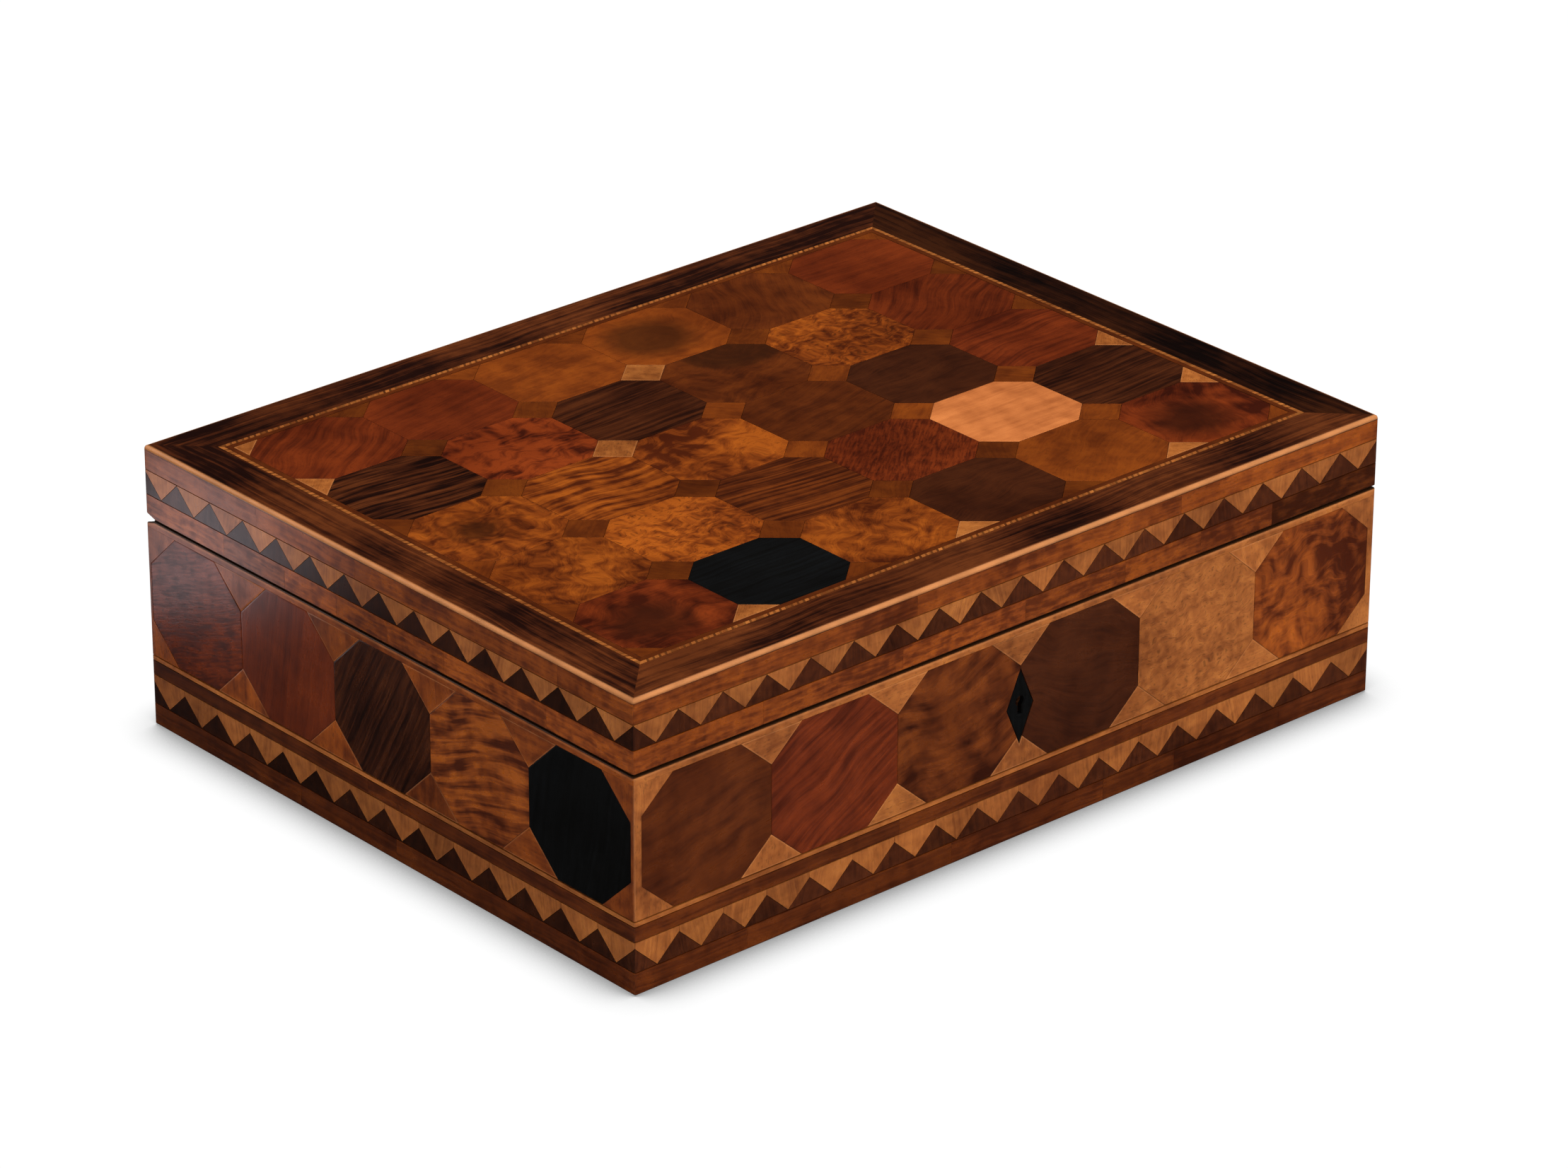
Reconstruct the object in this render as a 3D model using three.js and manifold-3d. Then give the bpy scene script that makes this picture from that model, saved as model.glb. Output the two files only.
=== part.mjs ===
// A low rectangular parquetry box with a hinged lid.
// Plain boards carry sawn veneers: courses of octagons and dogtooth banding on the four sides,
// and a field of octagons inside mitred border bands on the lid.
// Millimetres. X runs along the front, the front faces -Y, Z is up, and the origin is the
// middle of the underside.

import * as THREE from 'three';
import { mergeVertices } from 'three/addons/utils/BufferGeometryUtils.js';
import Module from 'manifold-3d';

const wasm = await Module();
wasm.setup();

// Overall size
const length = 316;
const depth = 243;
const height = 100;
const baseHeight = 74.1;
const seamGap = 0.8;
const lidHeight = height - baseHeight - seamGap;

// Boards, veneers and joints
const board = 8;
const bottomBoard = 6;
const veneer = 1.6;
const joint = 0.3;
const octagonVeneer = 1;
const skin = veneer + joint;
const wall = skin + board;

// Courses on the sides of the base, as heights above the underside
const footTop = 8;
const baseToothTop = 16.4;
const lightBandTop = 18.4;
const darkBandTop = 23.6;
const lightLineTop = 25;
const octagonTop = 71.4;

// Courses on the sides of the lid, as heights above its lower edge
const lidToothFoot = 8.1;
const lidToothTop = 16.7;

// Dogtooth banding: dark teeth stand point up, centred on every corner of the box
const frontTeeth = 18;
const sideTeeth = 14;
const toothSpine = 0.5;

// Octagons on the base: their number, and the corner cut as a share of the pitch
const frontOctagons = 6;
const sideOctagons = 5;
const frontPitch = 51.7;
const sidePitch = 48;
const frontCut = 0.24;
const sideCut = 0.28;

// Lid top, as distances in from the edge of the lid
const borderWidth = 17;
const stringingWidth = 1.6;
const fieldInset = 20.6;
const fieldColumns = 6;
const fieldRows = 5;
const fieldCut = 0.21;

// Relief along the back edges, which lets the lid swing
const reliefDepth = 4.5;
const reliefHeight = 1.25;

// Lozenge escutcheon and its keyhole
const lozengeWidth = 11.5;
const lozengeHeight = 26.4;
const lozengeCentre = 46.3;
const keyholeRadius = 1.7;
const keyholeSlot = 1.6;
const keyholeDrop = 5.6;
const keyholeSides = 20;

// Lock and strike
const lockWidth = 52;
const lockHeight = 38;
const lockPlate = 1.5;
const lockCaseInset = 3;
const lockCaseDepth = 4.6;
const selvageDepth = 6.6;
const hookSpacing = 15;
const hookWidth = 4;
const hookThickness = 1.4;
const hookLength = 6.5;
const hookClearance = 0.6;
const hookRoom = 2;

// Hinges
const hingeWidth = 38;
const hingeAt = 98;
const leafThickness = 1.2;
const leafDepth = 8.2;
const knuckleRadius = 2.3;
const pinRadius = 0.9;
const pinClearance = 0.1;
const knuckleSides = 16;
const knuckleGap = 0.3;
const hingeAxisHeight = baseHeight + seamGap / 2;

function wood(color, roughness) {
  return new THREE.MeshStandardMaterial({ color, roughness, metalness: 0, flatShading: true });
}

const finishes = {
  carcass: wood(0x8a5a36, 0.7),
  lightGround: wood(0xc07a40, 0.4),
  octagons: wood(0x6b3319, 0.4),
  fieldOctagons: wood(0x8c4a22, 0.4),
  darkTeeth: wood(0x3a1c0e, 0.4),
  lightTeeth: wood(0xc4813f, 0.4),
  brownBand: wood(0x9a5528, 0.4),
  footBand: wood(0x6e371a, 0.45),
  rosewood: wood(0x35200f, 0.35),
  stringing: wood(0xd09a64, 0.4),
  ebony: wood(0x0c0e0e, 0.3),
  brass: new THREE.MeshStandardMaterial({
    color: 0xa8843f,
    roughness: 0.4,
    metalness: 1,
    flatShading: true,
  }),
};

// The four sides, seen square on: u runs to the right, v up, and w out of the box
const sides = [
  { name: 'front', turn: 0, width: length, out: depth / 2, teeth: frontTeeth },
  { name: 'right', turn: Math.PI / 2, width: depth, out: length / 2, teeth: sideTeeth },
  { name: 'back', turn: Math.PI, width: length, out: depth / 2, teeth: frontTeeth },
  { name: 'left', turn: -Math.PI / 2, width: depth, out: length / 2, teeth: sideTeeth },
];

function sideMatrix(side) {
  const turned = new THREE.Matrix4().makeRotationZ(side.turn);
  const outwards = new THREE.Matrix4().makeTranslation(0, -side.out, 0);
  const upright = new THREE.Matrix4().makeRotationX(Math.PI / 2);
  return turned.multiply(outwards).multiply(upright);
}

// Booleans. A cutting tool runs past the face it cuts by overrun, or right through a plate.

const overrun = 1;
const through = 2 * veneer;

const mergeDistance = 1e-4;

function solidOf(geometry) {
  const bare = geometry.clone();
  bare.deleteAttribute('normal');
  bare.deleteAttribute('uv');
  const merged = mergeVertices(bare, mergeDistance);
  const vertProperties = new Float32Array(merged.attributes.position.array);
  const triVerts = new Uint32Array(merged.index.array);
  return new wasm.Manifold(new wasm.Mesh({ numProp: 3, vertProperties, triVerts }));
}

function geometryOf(solid) {
  const mesh = solid.getMesh();
  const geometry = new THREE.BufferGeometry();
  geometry.setAttribute('position', new THREE.BufferAttribute(mesh.vertProperties, 3));
  geometry.setIndex(new THREE.BufferAttribute(mesh.triVerts, 1));
  geometry.computeVertexNormals();
  return geometry;
}

function joined(geometries) {
  const solids = geometries.map(solidOf);
  return geometryOf(solids.reduce((sum, solid) => sum.add(solid)));
}

function cut(geometry, ...tools) {
  const solids = tools.map(solidOf);
  return geometryOf(solids.reduce((rest, solid) => rest.subtract(solid), solidOf(geometry)));
}

// Plates and blocks

function prism(points, from, to) {
  const outline = new THREE.Shape(points.map(([u, v]) => new THREE.Vector2(u, v)));
  const geometry = new THREE.ExtrudeGeometry(outline, { depth: to - from, bevelEnabled: false });
  return geometry.translate(0, 0, from);
}

function block(low, high) {
  const size = high.map((value, axis) => value - low[axis]);
  const middle = high.map((value, axis) => (value + low[axis]) / 2);
  return new THREE.BoxGeometry(...size).translate(...middle);
}

function rectangle(u0, v0, u1, v1) {
  return [[u0, v0], [u1, v0], [u1, v1], [u0, v1]];
}

// A frame between two insets from the edge of the lid top
function frame(insetOut, insetIn, from, to) {
  const outer = rectangle(
    insetOut - length / 2, insetOut - depth / 2, length / 2 - insetOut, depth / 2 - insetOut);
  const inner = rectangle(
    insetIn - length / 2, insetIn - depth / 2, length / 2 - insetIn, depth / 2 - insetIn);
  return cut(prism(outer, from, to), prism(inner, from - overrun, to + overrun));
}

// A plain course of veneer round all four sides
function plainCourse(v0, v1) {
  return frame(0, veneer, v0 + joint / 2, v1 - joint / 2);
}

// A course round all four sides whose lower and upper edges are zigzags. edges(side) lists
// [u, low, high] from the side's left corner up to, and without, its right corner.
function zigzagCourse(edges) {
  const positions = [];
  for (const side of sides) {
    const matrix = sideMatrix(side);
    edges(side).forEach(([u, low, high], index) => {
      const inner = index === 0 ? u + veneer : u;
      const section = [[u, low, 0], [u, high, 0], [inner, high, -veneer], [inner, low, -veneer]];
      for (const corner of section) {
        positions.push(...new THREE.Vector3(...corner).applyMatrix4(matrix).toArray());
      }
    });
  }
  const stations = positions.length / (4 * 3);
  const index = [];
  for (let station = 0; station < stations; station += 1) {
    const here = 4 * station;
    const next = 4 * ((station + 1) % stations);
    for (let corner = 0; corner < 4; corner += 1) {
      const after = (corner + 1) % 4;
      // The underside is split the same way as the top, so that two courses nest
      const flipped = corner === 3;
      index.push(here + corner, next + corner, flipped ? here + after : next + after);
      index.push(flipped ? next + corner : here + corner, next + after, here + after);
    }
  }
  const geometry = new THREE.BufferGeometry();
  geometry.setAttribute('position', new THREE.Float32BufferAttribute(positions, 3));
  geometry.setIndex(index);
  geometry.computeVertexNormals();
  return geometry;
}

// The line between dark and light teeth: a peak at each corner and a valley half a pitch on
function toothLine(side, valley, peak) {
  const pitch = side.width / side.teeth;
  const line = [];
  for (let tooth = 0; tooth < side.teeth; tooth += 1) {
    const u = tooth * pitch - side.width / 2;
    line.push([u, peak], [u + pitch / 2, valley]);
  }
  return line;
}

// The gap between two zigzags, measured upright
const zigzagGap = joint * Math.SQRT2;

function darkTeeth(v0, v1) {
  const line = (side) => toothLine(side, v0 + toothSpine, v1 - toothSpine - zigzagGap);
  return zigzagCourse((side) => line(side).map(([u, v]) => [u, v0 + joint / 2, v]));
}

function lightTeeth(v0, v1, top) {
  const line = (side) => toothLine(side, v0 + toothSpine + zigzagGap, v1 - toothSpine);
  return zigzagCourse((side) => line(side).map(([u, v]) => [u, v, top - joint / 2]));
}

// A row of octagons that touch along their upright sides, as one outline.
// grow widens it all round, for the pocket that it sits in.
function octagonRow(count, pitch, low, high, share, grow) {
  const cutAlong = share * pitch;
  const cutUp = share * (high - low);
  const slope = Math.atan2(cutUp, cutAlong);
  const flatShift = grow * Math.tan(slope / 2);
  const notchShift = grow / Math.cos(slope);
  const endShift = grow * Math.tan(Math.PI / 4 - slope / 2);
  const start = -count * pitch / 2;
  const below = [[start - grow, low + cutUp - endShift]];
  for (let octagon = 0; octagon < count; octagon += 1) {
    const left = start + octagon * pitch;
    const right = left + pitch;
    below.push([left + cutAlong - flatShift, low - grow]);
    below.push([right - cutAlong + flatShift, low - grow]);
    if (octagon < count - 1) {
      below.push([right, low + cutUp - notchShift]);
    }
  }
  below.push([-start + grow, low + cutUp - endShift]);
  const above = below.map(([u, v]) => [u, low + high - v]).reverse();
  return [...below, ...above];
}

// Scored lines between the octagons of a row
function scores(count, pitch, low, high) {
  const lines = [];
  for (let octagon = 1; octagon < count; octagon += 1) {
    const u = octagon * pitch - count * pitch / 2;
    lines.push(prism(rectangle(u - joint / 2, low, u + joint / 2, high), -joint, overrun));
  }
  return lines;
}

// Cuts

// The wedge taken off a back edge; up is 1 for the base and -1 for the lid
function reliefWedge(edge, up) {
  const y = depth / 2;
  const slope = reliefHeight / reliefDepth;
  const outline = [
    [y - reliefDepth, edge],
    [y + overrun, edge - up * slope * (reliefDepth + overrun)],
    [y + overrun, edge + up * overrun],
    [y - reliefDepth, edge + up * overrun],
  ];
  const wedge = prism(up > 0 ? outline : outline.reverse(), -length / 2 - overrun, length / 2 + overrun);
  const alongX = new THREE.Matrix4().makeBasis(
    new THREE.Vector3(0, 1, 0), new THREE.Vector3(0, 0, 1), new THREE.Vector3(1, 0, 0));
  return wedge.applyMatrix4(alongX);
}

function lozenge(grow) {
  const edge = Math.hypot(lozengeWidth, lozengeHeight);
  const across = lozengeWidth / 2 + grow * edge / lozengeHeight;
  const up = lozengeHeight / 2 + grow * edge / lozengeWidth;
  return [
    [0, lozengeCentre - up],
    [across, lozengeCentre],
    [0, lozengeCentre + up],
    [-across, lozengeCentre],
  ];
}

function keyhole(from, to) {
  const round = new THREE.CylinderGeometry(
    keyholeRadius, keyholeRadius, to - from, keyholeSides);
  round.rotateX(Math.PI / 2);
  round.translate(0, lozengeCentre + keyholeRadius, (from + to) / 2);
  const slot = prism(rectangle(
    -keyholeSlot / 2, lozengeCentre - keyholeDrop / 2,
    keyholeSlot / 2, lozengeCentre + keyholeRadius), from, to);
  return joined([round, slot]);
}

// Room for a hinge: its barrel and one leaf
function hingeRoom(x, edge, up) {
  const y = depth / 2;
  const half = hingeWidth / 2 + joint;
  const barrel = new THREE.CylinderGeometry(
    knuckleRadius + joint, knuckleRadius + joint, 2 * half, knuckleSides);
  barrel.rotateZ(Math.PI / 2);
  barrel.translate(x, y, edge + up * seamGap / 2);
  const inner = edge - up * (leafThickness + joint);
  const leaf = block(
    [x - half, y - leafDepth - joint, Math.min(inner, edge + up * overrun)],
    [x + half, y + overrun, Math.max(inner, edge + up * overrun)]);
  return joined([barrel, leaf]);
}

const hingePlaces = [['left', -hingeAt], ['right', hingeAt]];

function backCuts(edge, up) {
  return [reliefWedge(edge, up), ...hingePlaces.map(([, x]) => hingeRoom(x, edge, up))];
}

// Assembly

const box = new THREE.Group();
box.name = 'parquetry_box';
const base = new THREE.Group();
base.name = 'base';
const lid = new THREE.Group();
lid.name = 'lid';
lid.position.z = baseHeight + seamGap;
box.add(base, lid);

function place(group, name, geometry, material, matrix) {
  const mesh = new THREE.Mesh(geometry, material);
  mesh.name = name;
  if (matrix) mesh.applyMatrix4(matrix);
  group.add(mesh);
  return mesh;
}

const [front, right, back, left] = sides;

// Boards of the base: long boards front and back, short ones between them
function longBoard(tall) {
  return prism(rectangle(skin - length / 2, 0, length / 2 - skin, tall), -wall, -skin);
}

function shortBoard(tall) {
  const half = depth / 2 - wall - joint;
  return prism(rectangle(-half, 0, half, tall), -wall, -skin);
}

const lockFoot = baseHeight - lockHeight;
const lockRoom = [
  block(
    [-lockWidth / 2 - joint, lockFoot - joint, -wall - overrun],
    [lockWidth / 2 + joint, baseHeight + overrun, -wall + lockPlate + joint]),
  block(
    [lockCaseInset - lockWidth / 2 - joint, lockFoot + lockCaseInset - joint, -wall - overrun],
    [lockWidth / 2 - lockCaseInset + joint, baseHeight + overrun, -wall + lockCaseDepth + joint]),
  block(
    [-lockWidth / 2 - joint, baseHeight - lockPlate - joint, -wall - overrun],
    [lockWidth / 2 + joint, baseHeight + overrun, -wall + selvageDepth + joint]),
];

place(base, 'base_front_board',
  cut(longBoard(baseHeight), ...lockRoom, keyhole(-wall - overrun, overrun)),
  finishes.carcass, sideMatrix(front));
place(base, 'base_back_board',
  cut(longBoard(baseHeight).applyMatrix4(sideMatrix(back)), ...backCuts(baseHeight, 1)),
  finishes.carcass);
place(base, 'base_left_board', shortBoard(baseHeight), finishes.carcass, sideMatrix(left));
place(base, 'base_right_board', shortBoard(baseHeight), finishes.carcass, sideMatrix(right));

const insideX = length / 2 - wall - joint;
const insideY = depth / 2 - wall - joint;
place(base, 'base_bottom_board',
  block([-insideX, -insideY, 0], [insideX, insideY, bottomBoard]), finishes.carcass);

// Octagon course of the base: a ground veneer with pockets, and the octagons let into it
const pocketFloor = -octagonVeneer - joint;

function octagonGround(side, count, pitch, share) {
  const edge = side.width / 2 - (side.width === length ? veneer + joint : 0);
  const plate = prism(
    rectangle(-edge, lightLineTop + joint / 2, edge, baseHeight), -veneer, 0);
  const pocket = prism(
    octagonRow(count, pitch, lightLineTop + 2 * joint, octagonTop, share, joint), pocketFloor,
    overrun);
  return cut(plate, pocket);
}

function octagonStrip(count, pitch, share) {
  const low = lightLineTop + 2 * joint;
  const row = prism(octagonRow(count, pitch, low, octagonTop, share, 0), -octagonVeneer, 0);
  return cut(row, ...scores(count, pitch, low, octagonTop));
}

const backGround = octagonGround(back, frontOctagons, frontPitch, frontCut);
const sideGround = octagonGround(left, sideOctagons, sidePitch, sideCut);

place(base, 'base_octagon_ground_front',
  cut(octagonGround(front, frontOctagons, frontPitch, frontCut), prism(lozenge(joint), -through, overrun)),
  finishes.lightGround, sideMatrix(front));
place(base, 'base_octagon_ground_back',
  cut(backGround.applyMatrix4(sideMatrix(back)), ...backCuts(baseHeight, 1)),
  finishes.lightGround);
for (const side of [left, right]) {
  place(base, `base_octagon_ground_${side.name}`,
    cut(sideGround.clone().applyMatrix4(sideMatrix(side)), reliefWedge(baseHeight, 1)),
    finishes.lightGround);
}

// The front row is two runs of three, parted by the lozenge
const frontHalf = octagonStrip(frontOctagons / 2, frontPitch, frontCut);
const halfShift = frontOctagons * frontPitch / 4;
for (const [name, shift] of [['left', -halfShift], ['right', halfShift]]) {
  const run = frontHalf.clone().translate(shift, 0, 0);
  const trim = block([-joint / 2, 0, -through], [joint / 2, baseHeight, overrun]);
  place(base, `base_octagons_front_${name}`, cut(run, trim, prism(lozenge(joint), -through, overrun)),
    finishes.octagons, sideMatrix(front));
}
place(base, 'base_octagons_back',
  octagonStrip(frontOctagons, frontPitch, frontCut), finishes.octagons, sideMatrix(back));
for (const side of [left, right]) {
  place(base, `base_octagons_${side.name}`,
    octagonStrip(sideOctagons, sidePitch, sideCut), finishes.octagons, sideMatrix(side));
}

// The other courses of the base
place(base, 'base_light_line', plainCourse(darkBandTop, lightLineTop), finishes.lightTeeth);
place(base, 'base_dark_band', plainCourse(lightBandTop, darkBandTop), finishes.brownBand);
place(base, 'base_dogtooth_light',
  lightTeeth(footTop, baseToothTop, lightBandTop), finishes.lightTeeth);
place(base, 'base_dogtooth_dark', darkTeeth(footTop, baseToothTop), finishes.darkTeeth);
place(base, 'base_foot_band', plainCourse(joint / 2, footTop), finishes.footBand);

// Lozenge escutcheon
place(base, 'escutcheon',
  cut(prism(lozenge(0), -veneer, 0), keyhole(-through, overrun)), finishes.ebony, sideMatrix(front));

// Lock, let into the inner face and top edge of the front board
function hooks(grow, from, to) {
  const middle = -wall + selvageDepth / 2;
  return [-1, 1].map((way) => block(
    [way * hookSpacing - hookWidth / 2 - grow, from, middle - hookThickness / 2 - grow],
    [way * hookSpacing + hookWidth / 2 + grow, to, middle + hookThickness / 2 + grow]));
}

const lockBody = joined([
  block([-lockWidth / 2, lockFoot, -wall], [lockWidth / 2, baseHeight, -wall + lockPlate]),
  block(
    [lockCaseInset - lockWidth / 2, lockFoot + lockCaseInset, -wall],
    [lockWidth / 2 - lockCaseInset, baseHeight, -wall + lockCaseDepth]),
  block(
    [-lockWidth / 2, baseHeight - lockPlate, -wall],
    [lockWidth / 2, baseHeight, -wall + selvageDepth]),
]);
place(base, 'lock',
  cut(lockBody,
    ...hooks(hookClearance, baseHeight - hookLength - hookRoom, baseHeight + overrun),
    keyhole(-wall + lockPlate, 0)),
  finishes.brass, sideMatrix(front));

// Boards of the lid, with heights above its lower edge
const topBoardUnder = lidHeight - skin - board;
const railTop = topBoardUnder - joint;
const strikeRoom = block(
  [-lockWidth / 2 - joint, -overrun, -wall - overrun],
  [lockWidth / 2 + joint, lockPlate + joint, -wall + selvageDepth + joint]);

place(lid, 'lid_front_rail', cut(longBoard(railTop), strikeRoom), finishes.carcass,
  sideMatrix(front));
place(lid, 'lid_back_rail',
  cut(longBoard(railTop).applyMatrix4(sideMatrix(back)), ...backCuts(0, -1)), finishes.carcass);
place(lid, 'lid_left_rail', shortBoard(railTop), finishes.carcass, sideMatrix(left));
place(lid, 'lid_right_rail', shortBoard(railTop), finishes.carcass, sideMatrix(right));
place(lid, 'lid_top_board',
  block(
    [skin - length / 2, skin - depth / 2, topBoardUnder],
    [length / 2 - skin, depth / 2 - skin, lidHeight - skin]),
  finishes.carcass);

// Courses on the sides of the lid
const sideVeneerTop = lidHeight - skin;
place(lid, 'lid_upper_band', plainCourse(lidToothTop, sideVeneerTop), finishes.brownBand);
place(lid, 'lid_dogtooth_light',
  lightTeeth(lidToothFoot, lidToothTop, lidToothTop), finishes.lightTeeth);
place(lid, 'lid_dogtooth_dark', darkTeeth(lidToothFoot, lidToothTop), finishes.darkTeeth);
place(lid, 'lid_lower_band',
  cut(plainCourse(-joint / 2, lidToothFoot), ...backCuts(0, -1)), finishes.brownBand);

// Mitred border bands of the lid top
function borderBand(half, other) {
  const gap = joint / Math.SQRT2;
  return prism([
    [-half + gap, -other],
    [half - gap, -other],
    [half - borderWidth - gap, -other + borderWidth],
    [-half + borderWidth + gap, -other + borderWidth],
  ], lidHeight - veneer, lidHeight);
}

for (const side of sides) {
  const band = borderBand(side.width / 2, side.out).rotateZ(side.turn);
  place(lid, `lid_border_${side.name}`, band, finishes.rosewood);
}

const stringingInset = borderWidth + stringingWidth;
place(lid, 'lid_rope_stringing',
  frame(borderWidth + joint, stringingInset, lidHeight - veneer, lidHeight), finishes.stringing);
place(lid, 'lid_inner_margin',
  frame(stringingInset + joint, fieldInset, lidHeight - veneer, lidHeight), finishes.brownBand);

// Field of octagons: a ground veneer with pockets, and five rows of octagons let into it
const fieldLength = length - 2 * fieldInset;
const fieldDepth = depth - 2 * fieldInset;
const columnPitch = fieldLength / fieldColumns;
const rowPitch = fieldDepth / fieldRows;
const fieldEdge = rectangle(
  joint - fieldLength / 2, joint - fieldDepth / 2,
  fieldLength / 2 - joint, fieldDepth / 2 - joint);

function fieldRow(row, grow) {
  const low = fieldDepth / 2 - (row + 1) * rowPitch + joint / 2;
  return octagonRow(fieldColumns, columnPitch, low, low + rowPitch - joint, fieldCut, grow);
}

const fieldPockets = [];
for (let row = 0; row < fieldRows; row += 1) {
  const pocket = prism(fieldRow(row, joint), pocketFloor, overrun);
  fieldPockets.push(pocket.translate(0, 0, lidHeight));
}
place(lid, 'lid_field_ground',
  cut(prism(fieldEdge, lidHeight - veneer, lidHeight), ...fieldPockets), finishes.lightGround);

for (let row = 0; row < fieldRows; row += 1) {
  const strip = prism(fieldRow(row, 0), -octagonVeneer, 0);
  const inside = block(
    [joint - fieldLength / 2, joint - fieldDepth / 2, -through],
    [fieldLength / 2 - joint, fieldDepth / 2 - joint, through]);
  const trimmed = geometryOf(solidOf(strip).intersect(solidOf(inside)));
  const scored = cut(trimmed, ...scores(fieldColumns, columnPitch, -depth / 2, depth / 2));
  place(lid, `lid_octagons_row_${row + 1}`, scored.translate(0, 0, lidHeight),
    finishes.fieldOctagons);
}

// Strike with two hooks, let into the front rail of the lid
place(lid, 'lock_strike',
  joined([
    block([-lockWidth / 2, 0, -wall], [lockWidth / 2, lockPlate, -wall + selvageDepth]),
    ...hooks(0, -hookLength, lockPlate),
  ]),
  finishes.brass, sideMatrix(front));

// Hinges: the lower leaf has the two outer barrels, the upper leaf the middle one
function barrelRing(x0, x1) {
  const ring = new THREE.CylinderGeometry(knuckleRadius, knuckleRadius, x1 - x0, knuckleSides);
  ring.rotateZ(Math.PI / 2);
  return ring.translate((x0 + x1) / 2, 0, 0);
}

function hingeLeaf(spans, up) {
  const near = up * seamGap / 2;
  const far = near + up * leafThickness;
  const plate = block(
    [-hingeWidth / 2, -leafDepth, Math.min(near, far)],
    [hingeWidth / 2, -knuckleRadius - 2 * joint, Math.max(near, far)]);
  const tongues = spans.map(([x0, x1]) => block(
    [x0, -leafDepth, Math.min(near, far)], [x1, 0, Math.max(near, far)]));
  const barrels = spans.map(([x0, x1]) => barrelRing(x0, x1));
  const bore = new THREE.CylinderGeometry(
    pinRadius + pinClearance, pinRadius + pinClearance, 2 * hingeWidth, knuckleSides);
  bore.rotateZ(Math.PI / 2);
  return cut(joined([plate, ...tongues, ...barrels]), bore);
}

const sixth = hingeWidth / 6;
const outerSpans = [[-hingeWidth / 2, -sixth - knuckleGap], [sixth + knuckleGap, hingeWidth / 2]];
const middleSpan = [[-sixth, sixth]];

for (const [name, x] of hingePlaces) {
  const hinge = new THREE.Group();
  hinge.position.set(x, depth / 2, hingeAxisHeight);
  base.add(hinge);
  place(hinge, `hinge_${name}_lower_leaf`, hingeLeaf(outerSpans, -1), finishes.brass);
  const pin = new THREE.CylinderGeometry(pinRadius, pinRadius, hingeWidth, knuckleSides);
  place(hinge, `hinge_${name}_pin`, pin.rotateZ(Math.PI / 2), finishes.brass);

  const upper = new THREE.Group();
  upper.position.set(x, depth / 2, -seamGap / 2);
  lid.add(upper);
  place(upper, `hinge_${name}_upper_leaf`, hingeLeaf(middleSpan, 1), finishes.brass);
}

export default box;
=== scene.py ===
import colorsys
import math
import random

import bpy
from mathutils import Matrix, Vector
from mathutils.geometry import tessellate_polygon


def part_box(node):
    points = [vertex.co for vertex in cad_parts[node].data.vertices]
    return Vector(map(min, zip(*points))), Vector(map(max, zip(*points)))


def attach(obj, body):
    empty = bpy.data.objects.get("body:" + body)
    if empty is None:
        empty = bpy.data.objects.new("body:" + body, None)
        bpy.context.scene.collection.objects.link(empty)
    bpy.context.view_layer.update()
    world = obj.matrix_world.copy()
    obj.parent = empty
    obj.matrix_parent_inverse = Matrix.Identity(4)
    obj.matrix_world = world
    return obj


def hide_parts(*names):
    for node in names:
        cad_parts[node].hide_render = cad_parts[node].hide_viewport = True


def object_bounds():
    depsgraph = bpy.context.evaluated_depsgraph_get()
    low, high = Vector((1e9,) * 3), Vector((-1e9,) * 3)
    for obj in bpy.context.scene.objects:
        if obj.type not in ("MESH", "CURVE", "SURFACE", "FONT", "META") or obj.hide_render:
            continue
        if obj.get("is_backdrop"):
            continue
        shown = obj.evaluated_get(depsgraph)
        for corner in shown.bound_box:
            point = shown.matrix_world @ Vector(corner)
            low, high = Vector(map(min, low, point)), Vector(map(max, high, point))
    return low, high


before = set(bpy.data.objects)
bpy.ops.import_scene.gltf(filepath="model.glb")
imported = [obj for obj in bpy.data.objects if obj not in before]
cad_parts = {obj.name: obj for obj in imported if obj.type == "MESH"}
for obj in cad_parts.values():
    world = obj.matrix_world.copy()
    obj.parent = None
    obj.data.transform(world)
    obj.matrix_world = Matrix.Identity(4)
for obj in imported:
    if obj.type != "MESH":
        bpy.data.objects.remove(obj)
cadLow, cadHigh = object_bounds()
print("frame loaded:", len(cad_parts), "nodes")

mm = 0.001
white = (1, 1, 1, 1)
tiny = 0.01  # places closer than this, in mm, count as the same
lightLevel = 1.25  # how brightly the studio lights the box; colours are given as they look on it


# A colour as it looks on the lit box, 0 to 255, as the shader wants it
def screen(red, green, blue):
    linear = [((value / 255 + 0.055) / 1.055) ** 2.4 / lightLevel for value in (red, green, blue)]
    return (*linear, 1)


# Shader helpers

# Adds a node, sets its options and fills its sockets with values or with other sockets
def addNode(tree, kind, feeds=None, **options):
    made = tree.nodes.new("ShaderNode" + kind)
    for name, value in options.items():
        setattr(made, name, value)
    for name, value in (feeds or {}).items():
        if isinstance(value, bpy.types.NodeSocket):
            tree.links.new(value, made.inputs[name])
        else:
            made.inputs[name].default_value = value
    return made


def calc(tree, operation, *values, clamp=False):
    made = tree.nodes.new("ShaderNodeMath")
    made.operation = operation
    made.use_clamp = clamp
    for socket, value in zip(made.inputs, values):
        if isinstance(value, bpy.types.NodeSocket):
            tree.links.new(value, socket)
        else:
            socket.default_value = value
    return made.outputs[0]


def mixColour(tree, factor, first, second, blend="MIX"):
    made = tree.nodes.new("ShaderNodeMix")
    made.data_type = "RGBA"
    made.blend_type = blend
    for index, value in ((0, factor), (6, first), (7, second)):
        if isinstance(value, bpy.types.NodeSocket):
            tree.links.new(value, made.inputs[index])
        else:
            made.inputs[index].default_value = value
    return made.outputs[2]


def attribute(tree, name):
    return addNode(tree, "Attribute", attribute_type="GEOMETRY", attribute_name=name)


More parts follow.
